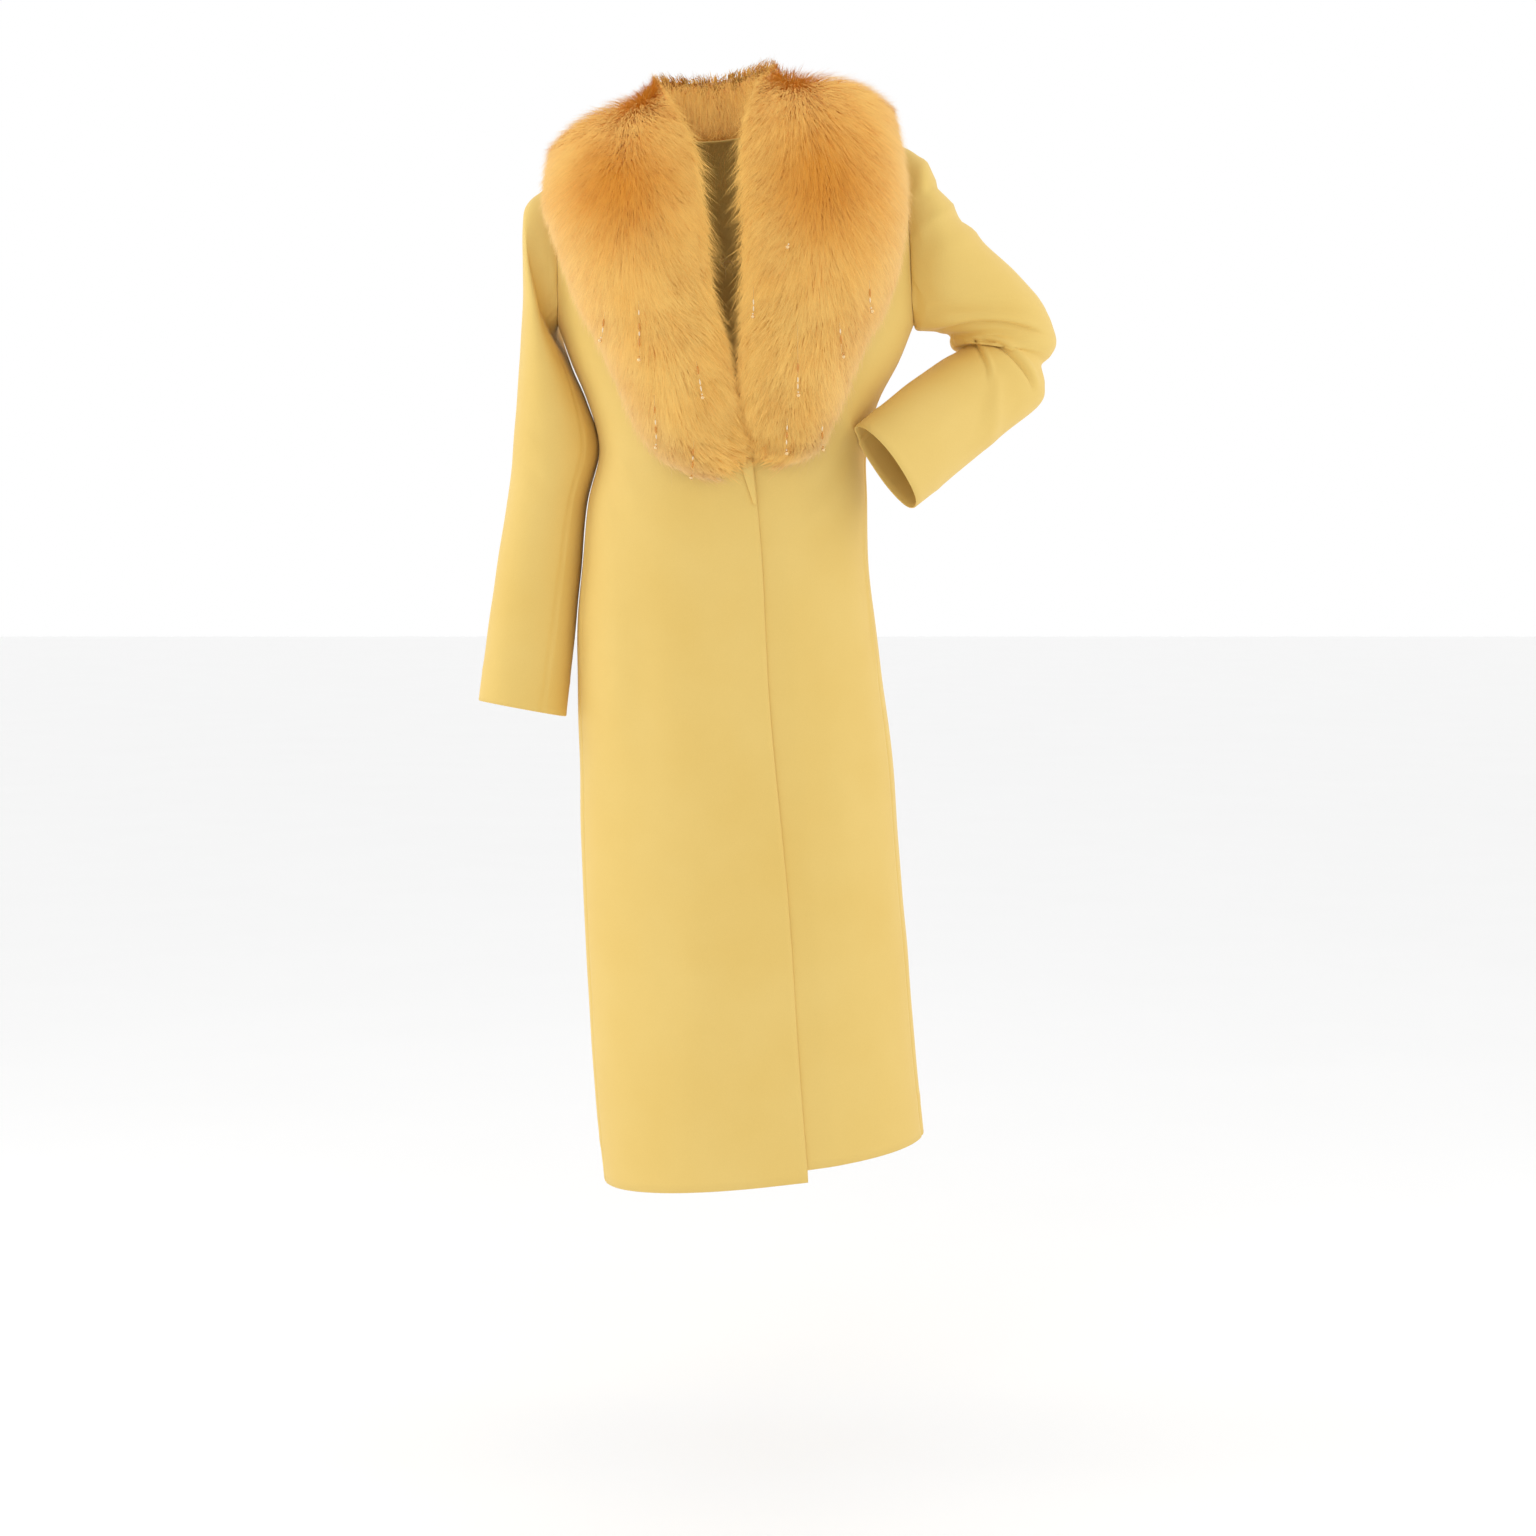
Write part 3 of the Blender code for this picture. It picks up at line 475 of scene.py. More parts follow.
def sleeve_sections(table, side, angles):
    """Points of every section of a sleeve at angles round it, the armhole first."""
    outer, inner = table[:, 0:3], table[:, 3:6]
    middle = (outer + inner) / 2
    along = np.gradient(middle, axis=0) * (1.0, SECTION_TURN, 1.0)
    forward = np.cross(outer - inner, along)
    forward *= -side / np.linalg.norm(forward, axis=1, keepdims=True)
    c = power(np.cos(np.radians(angles)), 2 / SECTION_SQUARENESS)[None, :, None]
    s = power(np.sin(np.radians(angles)), 2 / SECTION_SQUARENESS)[None, :, None]
    bulge = np.where(s > 0, table[:, None, 6:7], table[:, None, 7:8])
    points = middle[:, None] + (outer - middle)[:, None] * c + forward[:, None] * s * bulge
    loop = armhole_loop(side)
    start = read(loop[:, 1:], loop[:, 0], angles)
    return np.concatenate([start[None], points])


def clear_of_body(points, side):
    """Draw sleeve points that would touch the side of the body out to just beside it."""
    ring = glide(RINGS, points[..., 2])
    depth = np.where(points[..., 1] < 0, -ring[..., 2], ring[..., 3])
    share = limit(np.abs(points[..., 1]) / depth)
    half = ring[..., 1] * (1 - share ** SQUARENESS) ** (1 / SQUARENESS)
    beside = side * ring[..., 0] + half + (ARM_GAP if side > 0 else TOUCH)
    low = points[..., 2] < CHEST
    points[..., 0] = np.where(low, side * np.maximum(side * points[..., 0], beside), points[..., 0])


def collar_section(row, count):
    """Outline of the fur where a row of the collar's table crosses it."""
    neck_x, neck_turn, outer_x, outer_turn, reach, thick, stand = row
    share = np.linspace(0, 1, 41)
    x = neck_x + (outer_x - neck_x) * share
    turn = neck_turn + (outer_turn - neck_turn) * share
    behind = turn > 90.0
    rise = np.where(behind, 180.0 - turn, turn)
    beta = angle_at(x, rise) * np.where(behind, 1.0, -1.0)
    bend = np.where(behind, BACK_BEND, FRONT_BEND)
    seat = form(beta, rise, bend)
    out = outward(beta, rise, bend)
    width = lengths(seat)
    sewn = width[-1] - FUR_LIP
    theta = np.radians(np.linspace(0, 360, count, endpoint=False))
    side = np.cos(theta)
    place = (width[-1] - reach) / 2 + (width[-1] + reach) / 2 * side
    edges = stand * ((1 - side) / 2) ** FUR_LEAN + FUR_LIP_RISE * ((1 + side) / 2) ** 8
    crown = np.abs(np.sin(theta)) ** (2 / FUR_CROWN)
    inner_lip = limit(-place / reach)
    outer_lip = limit((place - sewn) / FUR_LIP)
    under = stand * inner_lip ** 1.5 + FUR_LIP_RISE * outer_lip ** 1.5
    height = FUR_SEAT + thick * np.where(np.sin(theta) > 1e-9, edges + (1 - edges) * crown, under)
    held = np.clip(place, 0.0, sewn)
    last = np.searchsorted(width, sewn)
    past = (np.clip(-place, 0.0, None)[:, None] * unit(seat[0] - seat[1])
            + np.clip(place - sewn, 0.0, None)[:, None] * unit(seat[last] - seat[last - 1]))
    return read(seat, width, held) + read(out, width, held) * height[:, None] + past


# ---------------------------------------------------------------- meshes

def add_mesh(name, points, faces, finish):
    """A piece of the scene, which rides on the coat's only body."""
    mesh = bpy.data.meshes.new(name)
    mesh.from_pydata(np.asarray(points).tolist(), [], faces)
    mesh.materials.append(finish)
    mesh.shade_smooth()
    made = bpy.data.objects.new(name, mesh)
    bpy.context.scene.collection.objects.link(made)
    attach(made, "root")
    return made


def grid_normals(points, closed=False):
    """Unit normals of a grid, on the side from which its columns go to the left while its rows go up."""
    if closed:
        across = np.roll(points, -1, 1) - np.roll(points, 1, 1)
    else:
        across = np.gradient(points, axis=1)
    return unit(np.cross(across, np.gradient(points, axis=0)))


def wall(points, normals, thickness, closed=False):
    """Points and faces of a closed wall of cloth with rounded edges, inside the grid."""
    rows, columns = points.shape[:2]
    inner = points - normals * thickness
    index = np.arange(rows * columns).reshape(rows, columns)
    other = index + rows * columns
    faces = []
    last = columns if closed else columns - 1
    for i in range(rows - 1):
        for j in range(last):
            k = (j + 1) % columns
            faces.append((index[i, j], index[i, k], index[i + 1, k], index[i + 1, j]))
            faces.append((other[i, j], other[i + 1, j], other[i + 1, k], other[i, k]))
    if closed:
        loops = [(index[0], points[0] - points[1], True), (index[-1], points[-1] - points[-2], False)]
    else:
        ring = np.concatenate([index[0], index[1:, -1], index[-1, -2::-1], index[-2:0:-1, 0]])
        way = np.zeros_like(points)
        way[0] += points[0] - points[1]
        way[-1] += points[-1] - points[-2]
        way[:, 0] += points[:, 0] - points[:, 1]
        way[:, -1] += points[:, -1] - points[:, -2]
        loops = [(ring, way.reshape(-1, 3)[ring], True)]
    flat, low = points.reshape(-1, 3), inner.reshape(-1, 3)
    stack = [flat, low]
    count = 2 * rows * columns
    for ring, way, forward in loops:
        stack.append((flat[ring] + low[ring]) / 2 + unit(way) * thickness * 0.42)
        edge = np.arange(len(ring)) + count
        count += len(ring)
        for a in range(len(ring)):
            b = (a + 1) % len(ring)
            for one, two in ((ring, edge), (edge, ring + rows * columns)):
                face = (one[a], two[a], two[b], one[b])
                faces.append(face if forward else face[::-1])
    return np.concatenate(stack), [tuple(int(v) for v in face) for face in faces]


def cloth(name, points, finish, thickness=WALL, closed=False):
    """A piece of cloth whose outer face is a grid of points."""
    verts, faces = wall(points, grid_normals(points, closed), thickness, closed)
    return add_mesh(name, verts, faces, finish)


def folds(points, normals, table):
    """Height of the folds of a table at the points of a surface."""
    height = np.zeros(points.shape[:-1])
    for side, x0, z0, x1, z1, width, depth, bow in table:
        start, way = np.array((x0, z0)), np.array((x1 - x0, z1 - z0))
        length = np.linalg.norm(way)
        way = way / length
        off = points[..., (0, 2)] - start
        along = off @ way / length
        share = limit(along)
        beside = off @ np.array((-way[1], way[0])) - bow * np.sin(np.pi * share)
        faces_it = limit(normals[..., 1] * side * 2.0 + 0.2) if side else 1.0
        height += depth * np.sin(np.pi * share) ** 0.8 * bell(beside, width * (0.7 + 0.6 * share)) * faces_it
    return height


def creases(points, normals, table):
    """Height of the sharp creases of a table at the points of a surface."""
    height = np.zeros(points.shape[:-1])
    flat = points[..., (0, 2)]
    for number in np.unique(table[:, 0]):
        rows = table[table[:, 0] == number]
        curve = glide(np.column_stack([np.arange(len(rows)), rows[:, 2:]]), np.linspace(0, len(rows) - 1, 24))
        nearest = np.full(height.shape, 1.0)
        found = np.zeros(height.shape)
        for a, b in zip(curve, curve[1:]):
            way = b[:2] - a[:2]
            along = limit((flat - a[:2]) @ way / (way @ way))
            off = flat - (a[:2] + along[..., None] * way)
            far = np.linalg.norm(off, axis=-1)
            left = np.sign(off[..., 1] * way[0] - off[..., 0] * way[1])
            wide, deep, swell = (a[k] + along * (b[k] - a[k]) for k in (2, 3, 4))
            value = -deep * np.exp(-(far / wide) ** 1.5) + swell * bell(far * left / wide - 2.6, 2.0)
            found = np.where(far < nearest, value, found)
            nearest = np.minimum(nearest, far)
        height += found * limit(normals[..., 1] * rows[0, 1] * 2.0 + 0.3)
    return height


def ripple(points, seed, scale):
    """A soft unevenness that no cloth is without."""
    random = np.random.default_rng(seed)
    height = np.zeros(points.shape[:-1])
    for _ in range(14):
        wave = random.normal(0, 1, 3) / scale
        height += np.sin(points @ wave + random.uniform(0, 6.28))
    return height * UNEVEN / 14 ** 0.5


def seam_groove(distance, depth=0.0009, width=0.0020):
    """How far cloth dips at a distance from a seam, and how it swells just beside it."""
    return -depth * bell(distance, width) + 0.3 * depth * bell(distance - 3 * width, 2 * width)


def length_from(points, axis, start):
    """Distance of every point of a grid from its first or last row or column, along the surface."""
    rows = points if axis == 0 else points.swapaxes(0, 1)
    step = np.linalg.norm(np.diff(rows, axis=0), axis=-1)
    far = np.concatenate([np.zeros((1,) + step.shape[1:]), np.cumsum(step, axis=0)])
    far = far if start == 0 else far[-1] - far
    return far if axis == 0 else far.swapaxes(0, 1)


def dense_rises():
    """Rows of the panels, closer than in the solids: shares of the way down to the hem, then rises above the
    chest line."""
    return np.linspace(1, 0, ROWS_DOWN) ** 1.15, 90 * np.linspace(0, 1, ROWS_UP + 1)[1:] ** 1.3


# ---------------------------------------------------------------- cloth

def front(side, name, edge, neck, dip, finish):
    """A front of the coat as a wall of cloth with its seams drawn in and its pocket mouth open."""
    down, up = dense_rises()
    columns = FRONT_COLUMNS
    level = np.concatenate([down * (HEM - CHEST) / DROP, up])
    outer = seam_angle(level)
    outer = outer if side > 0 else -180.0 - outer
    free = -angle_at(edge_across(edge, neck, level), level)
    beta = spread(outer, free, columns)
    rise = np.repeat(level[:, None], columns + 1, 1)
    rise[:len(down)] = down[:, None] * (hem_rise(beta[:len(down)]) + dip / DROP * np.linspace(0, 1, columns + 1) ** 2)
    points = form(beta, rise, FRONT_BEND)
    normal = outward(beta, rise, FRONT_BEND)
    if side > 0:
        cover = edge_across(RIGHT_EDGE, RIGHT_NECK, rise)
        inside = limit((cover + LAP_FADE - points[..., 0]) / LAP_FADE)
        points = points - normal * (LAP * inside ** 2 * (3 - 2 * inside))[..., None]
        exposed = 1 - inside ** 2 * (3 - 2 * inside)
    else:
        exposed = np.ones_like(rise)
    from_side = length_from(points, 1, 0)
    from_free = length_from(points, 1, -1)
    height = folds(points, normal, BODY_FOLDS) * np.clip(from_free / 0.02, 0.25, 1) * exposed
    height += ripple(points, 3 if side < 0 else 4, 0.03) * exposed * limit(from_side / PANEL_EDGE)
    height += seam_groove(from_side) * np.where(rise > 0, 0.35, 1.0)
    height += TURN_RIDGE * bell(length_from(points, 0, 0) - HEM_TURN, 0.004) * exposed
    heights = CHEST + rise[:, 0] * DROP
    mouth = np.sin(np.pi * limit((heights - MOUTH[0]) / (MOUTH[1] - MOUTH[0]))) ** 0.5
    height += POCKET_SWELL * bell(from_side, 0.006) * mouth[:, None]
    points = points + normal * height[..., None]
    pull = (POCKET_MOUTH * mouth)[:, None] * np.exp(-from_side / 0.012)
    points += unit(np.gradient(points, axis=1)) * pull[..., None]
    if side > 0:
        points = points[:, ::-1]
    made = cloth(name, points, finish)
    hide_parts("front_left" if side > 0 else "front_right")
    return made


def back(finish):
    """The back of the coat, as the fronts."""
    down, up = dense_rises()
    level = np.concatenate([down * (HEM - CHEST) / DROP, up])
    outer = back_seam_angle(level)
    neck_left, neck_right = angle_at(NECK_HALF, level), angle_at(-NECK_HALF, level)
    beta = np.concatenate([
        spread(outer, neck_left, BACK_COLUMNS[0])[:, :-1],
        spread(neck_left, neck_right, BACK_COLUMNS[1])[:, :-1],
        spread(neck_right, 180.0 - outer, BACK_COLUMNS[0])], 1)
    rise = np.repeat(level[:, None], beta.shape[1], 1)
    rise[:len(down)] = down[:, None] * hem_rise(beta[:len(down)])
    x = form(beta[-1], 90.0, BACK_BEND)[:, 0]
    dip = NECK_DROP * np.sqrt(limit(1 - (x / NECK_HALF) ** 2))
    rise[len(down):] -= dip * (up[:, None] / 90.0) ** 3
    points = form(beta, rise, BACK_BEND)
    normal = outward(beta, rise, BACK_BEND)
    from_side = np.minimum(length_from(points, 1, 0), length_from(points, 1, -1))
    height = (folds(points, normal, BODY_FOLDS) + ripple(points, 5, 0.03)) * limit(from_side / PANEL_EDGE)
    height += seam_groove(from_side)
    height += TURN_RIDGE * bell(length_from(points, 0, 0) - HEM_TURN, 0.004)
    points = points + normal * height[..., None]
    made = cloth("coat_back", points, finish)
    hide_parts("back")
    return made


def facing(finish):
    """The strip of facing that is turned out at the break, as a narrow roll of cloth."""
    level = np.linspace(FACING[0, 0], FACING[-1, 0] + 4.0, 46)
    free = edge_across(RIGHT_EDGE, RIGHT_NECK, level)
    width = glide(FACING, level)[..., 0]
    share = np.linspace(0, 1, 15)
    x = (free - width)[:, None] + (width - 0.0004)[:, None] * share
    rise = np.repeat(level[:, None], 15, 1)
    beta = -angle_at(x, rise)
    out = outward(beta, rise, FRONT_BEND)
    lift = FACING_SEAT + FACING_WALL + 0.0016 * np.sin(np.pi * share) ** 0.6
    points = form(beta, rise, FRONT_BEND) + out * lift[None, :, None]
    made = cloth("facing_turned_out", points, finish, FACING_WALL)
    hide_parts("facing_right")
    return made


def pocket(side, finish):
    """A pocket bag: two layers of lining that lie together, with its edges pressed thin."""
    height = np.linspace(BAG[0], BAG[1], 48)
    level = (height - CHEST) / DROP
    start = seam_angle(level) - 0.4
    reach = BAG_REACH * (1 - 0.55 * ((height - BAG[0]) / (BAG[1] - BAG[0])) ** 3)
    beta = spread(start, start - reach, 28)
    beta = beta if side > 0 else -180.0 - beta
    rise = np.repeat(level[:, None], 29, 1)
    points = form(beta, rise, FRONT_BEND)
    out = outward(beta, rise, FRONT_BEND)
    points = points - out * (WALL + POCKET_SEAT)
    near_edge = np.minimum.reduce([length_from(points, 0, 0), length_from(points, 0, -1), length_from(points, 1, -1)])
    points = points - out * (0.0009 * bell(near_edge, 0.004)
                             + 0.0005 * (1 + np.sin(height * 300 + rise[0, 0]))[:, None])[..., None]
    points = points[:, ::-1] if side > 0 else points
    made = cloth("pocket_bag_left" if side > 0 else "pocket_bag_right", points, finish, POCKET_BAG)
    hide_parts("pocket_left" if side > 0 else "pocket_right")
    return made


def reach_body(points, angles):
    """Swell the inner side of the hanging sleeve until it all but touches the side of the body, down to the hip."""
    place = points[..., 0].argmax(axis=1)
    row = np.arange(len(points))
    level = points[row, place, 2]
    ring = glide(RINGS, level)
    gap = ring[:, 0] - ring[:, 1] - TOUCH - points[row, place, 0]
    share = np.interp(level, (-0.62, -0.50, -0.245, -0.222), (0.0, 1.0, 1.0, 0.0))
    swell = np.clip(gap, 0.0, 0.014) * share
    swell = np.convolve(np.pad(swell, 4, "edge"), np.ones(9) / 9, "valid")
    points[..., 0] += swell[:, None] * bell(180.0 - np.abs(angles), 55.0)


def sleeve(side, finish):
    """A whole sleeve as one tube of cloth, with its two seams drawn in and the easing of its cap."""
    name, table = ("sleeve_left", SLEEVE_LEFT) if side > 0 else ("sleeve_right", SLEEVE_RIGHT)
    columns = 176 if side > 0 else 108
    angles = np.linspace(-180.0, 180.0, columns, endpoint=False)
    sections = sleeve_sections(table, side, angles)
    place = np.arange(len(sections))
    even = np.linspace(0, 1, 400)
    closer = 1 + (3.6 * bell(even - 0.60, 0.16) if side > 0 else 0.6 * bell(even, 0.2))
    steps = np.interp(np.linspace(0, 1, 216 if side > 0 else 130), np.cumsum(closer) / closer.sum(), even)
    steps[0] = 0.0
    rows = glide(np.column_stack([place, sections.reshape(len(place), -1)]), steps * place[-1])
    points = rows.reshape(len(steps), columns, 3)
    points[0] += (points[1] - points[0]) * 0.06
    clear_of_body(points[2:], side)
    if side < 0:
        reach_body(points, angles)
    points = points[:, ::-1] if side < 0 else points
    angles = angles[::-1] if side < 0 else angles
    normal = grid_normals(points, True)
    round_it = np.linalg.norm(np.roll(points, -1, 1) - points, axis=-1)
    distance = np.full(points.shape[:2], 1.0)
    for first, last in (FRONT_SEAM[name.removeprefix("sleeve_")], BACK_SEAM):
        seam = first + (last - first) * steps
        off = np.abs((angles[None, :] - seam[:, None] + 180.0) % 360.0 - 180.0)
        distance = np.minimum(distance, off * round_it.sum(1)[:, None] / 360.0)
    from_cap = length_from(points, 0, 0)
    from_cuff = length_from(points, 0, -1)
    start = limit(from_cap / 0.012)
    height = folds(points, normal, LEFT_FOLDS if side > 0 else RIGHT_FOLDS) * start
    if side > 0:
        height += creases(points, normal, CREASES)
    height += ripple(points, 7 + side, 0.025) * limit(from_cap / 0.015)
    height += seam_groove(distance, 0.0009, 0.0018)
    cap = np.abs((angles + 180.0) % 360.0 - 180.0) < 130
    height += (0.0010 * bell(from_cap - 0.012, 0.009) - 0.0003 * bell(from_cap, 0.002)) * cap
    height += TURN_RIDGE * bell(from_cuff - CUFF_TURN, 0.003)
    height -= 0.0036 * bell(from_cap - 0.026, 0.024) * start * bell(angles - 100.0, 45.0)
    points = points + normal * height[..., None]
    made = cloth(name + "_cloth", points, finish, closed=True)
    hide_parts(name + "_upper", name + "_under")
    return made


# ---------------------------------------------------------------- fur

def collar_grid(table, thick, narrow, rows, points, inset=0.0):
    """A grid on the collar: rows of its table, thickness times thick, inner edge reaching narrow times as far, and
    the outer edge and the lower end drawn in by a share of the width."""
    place = np.linspace(0, len(table) - 1 - 6 * inset, rows)
    wide = glide(np.column_stack([np.arange(len(table)), table]), place)
    stand = wide[:, 6] * wide[:, 5] * (1 - 0.35 * (1 - thick))
    wide[:, 5] *= thick
    wide[:, 6] = stand / wide[:, 5]
    wide[:, 2:4] -= (wide[:, 2:4] - wide[:, 0:2]) * inset
    wide[:, 4] *= narrow
    return np.array([collar_section(row, points) for row in wide])


def sample(grid, u, v):
    """A grid's points between its corners: u from 0 to 1 along its rows, v in turns round its columns."""
    rows, columns = grid.shape[:2]
    a = np.clip(u, 0, 1) * (rows - 1.0001)
    b = (v % 1.0) * columns
    i, j = a.astype(int), b.astype(int) % columns
    s, t = (a - i)[:, None], (b - b.astype(int))[:, None]
    k, l = i + 1, (j + 1) % columns
    return (grid[i, j] * (1 - s) + grid[k, j] * s) * (1 - t) + (grid[i, l] * (1 - s) + grid[k, l] * s) * t


def flow(u, v):
    """Which way the hair lies: share of the collar's length that it runs down it, and turns that it runs round
    its section, for hair of full length. u is 0 at the centre back and 1 at the lower end, v is 0 at the outer
    edge, 0.25 on the crown and 0.5 at the inner edge."""
    down = np.interp(u, FLOW[:, 0], FLOW[:, 1])
    outer = np.interp(u, FLOW[:, 0], FLOW[:, 2])
    inner = np.interp(u, FLOW[:, 0], FLOW[:, 3])
    middle = np.interp(u, FLOW[:, 0], FLOW[:, 4])
    part = np.clip((v - middle) / 0.10, -1, 1)
    turn = np.where(part < 0, -outer * -part, inner * part)
    return down * (1 - 0.35 * np.abs(part)), turn


# Flow of the hair: share of the length, run down the collar, run to the outer and to the inner edge, parting
FLOW = np.array([
    (0.00, 0.000, 0.110, 0.060, 0.47),
    (0.12, 0.010, 0.110, 0.060, 0.46),
    (0.22, 0.030, 0.100, 0.060, 0.42),
    (0.30, 0.048, 0.090, 0.060, 0.33),
    (0.40, 0.050, 0.080, 0.060, 0.28),
    (0.55, 0.050, 0.065, 0.050, 0.25),
    (0.75, 0.050, 0.055, 0.042, 0.24),
    (0.90, 0.050, 0.050, 0.040, 0.24),
    (1.00, 0.050, 0.050, 0.040, 0.24)])

# Layers of hair: clumps, strands of each, steps of a strand, length, width, thickness of the fur that the tips
# reach, how far they stand proud of that, stray length at the edges, longest fringe beside the neck
HAIR = {
    "under": (7200, 12, 2, 0.85, 0.0011, 0.90, 0.0, 0.006, 0.002),
    "top": (9600, 7, 3, 1.10, 0.0007, 1.0, 0.0005, 0.018, 0.010),
    "halo": (9000, 4, 2, 0.95, 0.0005, 1.0, 0.0040, 0.024, 0.020)}
FUR_GRID = (150, 96)                        # rows and columns of the grids that the hair is set on
CORE_GRID = (110, 64)
ROOTS_AT = (0.50, 0.80)                     # shares of the fur's thickness and of its reach where the hair starts
CORE_AT = (0.56, 0.82)                      # and where the under-fur ends
COVER_U = (0.0, 0.20, 0.34)                 # places along the collar for how far round it the hair goes
GATHER = 0.30                               # how far the tips of a lock draw together
LOCK_SIZE = np.array((0.0080, 0.0150))      # how far the roots of a lock lie apart, along and round the collar
HAIR_LEAN = np.array([0.0, -0.40, 0.25])    # which way the shading of the hair at the back leans
FRINGE_WAY = np.array([-1.0, -0.4, -0.25])  # which way the fringe hangs beside the neck, on the left


def outward_normals(grid):
    """Unit normals of a grid round the collar, away from its middle."""
    normal = grid_normals(grid, True)
    return normal * np.sign((normal * (grid - grid.mean(1, keepdims=True))).sum(-1).mean())


def hairs(layer, side, seed, finish):
    """Locks of hair as joined tapered ribbons, which rise from the core of the fur and lie along it."""
    clumps, strands, steps, length, width, lift, proud, stray, neck_fringe = HAIR[layer]
    table = COLLAR_LEFT if side > 0 else COLLAR_RIGHT
    random = np.random.default_rng(seed)
    core = collar_grid(table, *ROOTS_AT, *FUR_GRID, 0.06)
    tips = collar_grid(table, lift, 1.0, *FUR_GRID)
    outside = outward_normals(tips)
    tips = tips + outside * proud
    u = random.uniform(0.0, 1.0, clumps)
    last = np.interp(u, COVER_U, (0.70, 0.68, 0.585))
    v = -0.085 + (last + 0.085) * random.uniform(0.0, 1.0, clumps)
    area = np.linalg.norm(np.cross(sample(tips, u + 0.01, v) - sample(tips, u, v),
                                   sample(tips, u, v + 0.01) - sample(tips, u, v)), axis=1)
    keep = random.uniform(0, 1, clumps) < area / np.percentile(area, 92)
    u, v = u[keep], v[keep]
    count = len(u)
    swirl_down = 0.010 * np.sin(u * 31 + v * 17 + seed) + random.normal(0, 0.006, count)
    swirl_turn = 0.012 * np.sin(u * 23 - v * 29 + 2 * seed) + random.normal(0, 0.010, count)
    clump_length = length * random.uniform(0.75, 1.2, count)
    clump_tint = random.normal(0, 1, count)
    each = np.repeat(np.arange(count), strands)
    total = len(each)
    around = random.normal(0, 1, (total, 2))
    around *= LOCK_SIZE
    uu = np.clip(u[each] + around[:, 0], 0.001, 0.999)
    vv = v[each] + around[:, 1]
    last = np.interp(uu, COVER_U, (0.72, 0.70, 0.60))
    down, turn = flow(uu, vv)
    scale = clump_length[each] * random.uniform(0.70, 1.15, total)
    down = (down + swirl_down[each]) * scale
    turn = (turn + swirl_turn[each]) * scale
    tip_u = uu + down - around[:, 0] * GATHER
    tip_v = np.clip(vv + turn - around[:, 1] * GATHER, -0.11, last + 0.02)
    root = sample(core, uu, vv)
    bend = sample(tips, uu + down * 0.35, vv + turn * 0.35)
    tip = sample(tips, tip_u, tip_v)
    ahead = sample(tips, np.full(total, 0.99), tip_v) - sample(tips, np.full(total, 0.96), tip_v)
    tip += ahead * (np.clip(tip_u - 1.0, 0, None) / 0.03)[:, None] * 0.9
    normal = sample(outside, np.minimum(uu, 0.97), np.clip(vv, 0.05, np.interp(uu, (0.20, 0.32), (0.60, 0.45))))
    normal = 0.6 * normal + 0.4 * unit(sample(tips, uu, vv) - root)
    normal = unit(normal + np.interp(uu, (0.22, 0.38), (1.0, 0.0))[:, None] * HAIR_LEAN)
    tip += normal * random.normal(0.0008, 0.0016, total)[:, None] + random.normal(0, 0.0012, (total, 3))
    beside_neck = bell(vv - 0.44, 0.06) * np.interp(uu, (0.25, 0.35, 0.56, 0.68), (0.0, 1.0, 1.0, 0.1))
    tip += (beside_neck * random.uniform(0.0, neck_fringe, total))[:, None] * FRINGE_WAY * (side, 1.0, 1.0)
    tip[:, 0] += random.normal(0, 0.005, total) * bell(uu, 0.03)
    to_edge = np.clip(np.abs(vv - 0.25) - 0.17, 0, None) / 0.1
    to_edge = np.where(uu < 0.3, np.clip((0.02 - vv) / 0.06, 0, 1.2), to_edge)
    to_edge = np.maximum(to_edge, limit((uu - 0.95) / 0.04))
    tip += unit(tip - (root + bend) / 2) * (to_edge * random.uniform(0, stray, total))[:, None]
    bend = bend * 0.75 + (root + tip) / 2 * 0.25
    t, taper = {2: ((0.0, 0.50, 1.0), (0.9, 0.9)), 3: ((0.0, 0.36, 0.70, 1.0), (0.85, 1.0, 0.62))}[steps]
    t = np.array(t)[None, :, None]
    line = (1 - t) ** 2 * root[:, None] + 2 * t * (1 - t) * bend[:, None] + t * t * tip[:, None]
    flat = unit(unit(np.cross(tip - root, normal)) + normal * random.normal(0, 0.35, total)[:, None])
    half = width * random.uniform(0.55, 1.25, total)[:, None, None] / 2 * np.array(taper)[None, :, None]
    left = line[:, :steps] + flat[:, None] * half
    right = line[:, :steps] - flat[:, None] * half
    mesh = ribbon_mesh(layer, left, right, line[:, steps])
    corner = 2 * steps + 1
    along = np.concatenate([t[0, :steps, 0], t[0, :steps, 0], [1.0]])
    paint(mesh, {
        "tip": np.tile(along, total),
        "across": np.repeat(np.clip(vv, -0.1, 0.6), corner),
        # deep: painted shade where the hair parts
        "deep": np.repeat(parting_shade_share(uu, vv), corner),
        "tint": np.repeat(clump_tint[each] * 0.5 + random.normal(0, 0.7, total), corner)})
    mesh.materials.append(finish)
    mesh.shade_smooth()
    mesh.normals_split_custom_set_from_vertices(np.repeat(normal, corner, 0).tolist())
    made = bpy.data.objects.new(f"fur_{'left' if side > 0 else 'right'}_{layer}", mesh)
    bpy.context.scene.collection.objects.link(made)
    made.visible_shadow = False
    made.visible_diffuse = layer == "under"
    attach(made, "root")


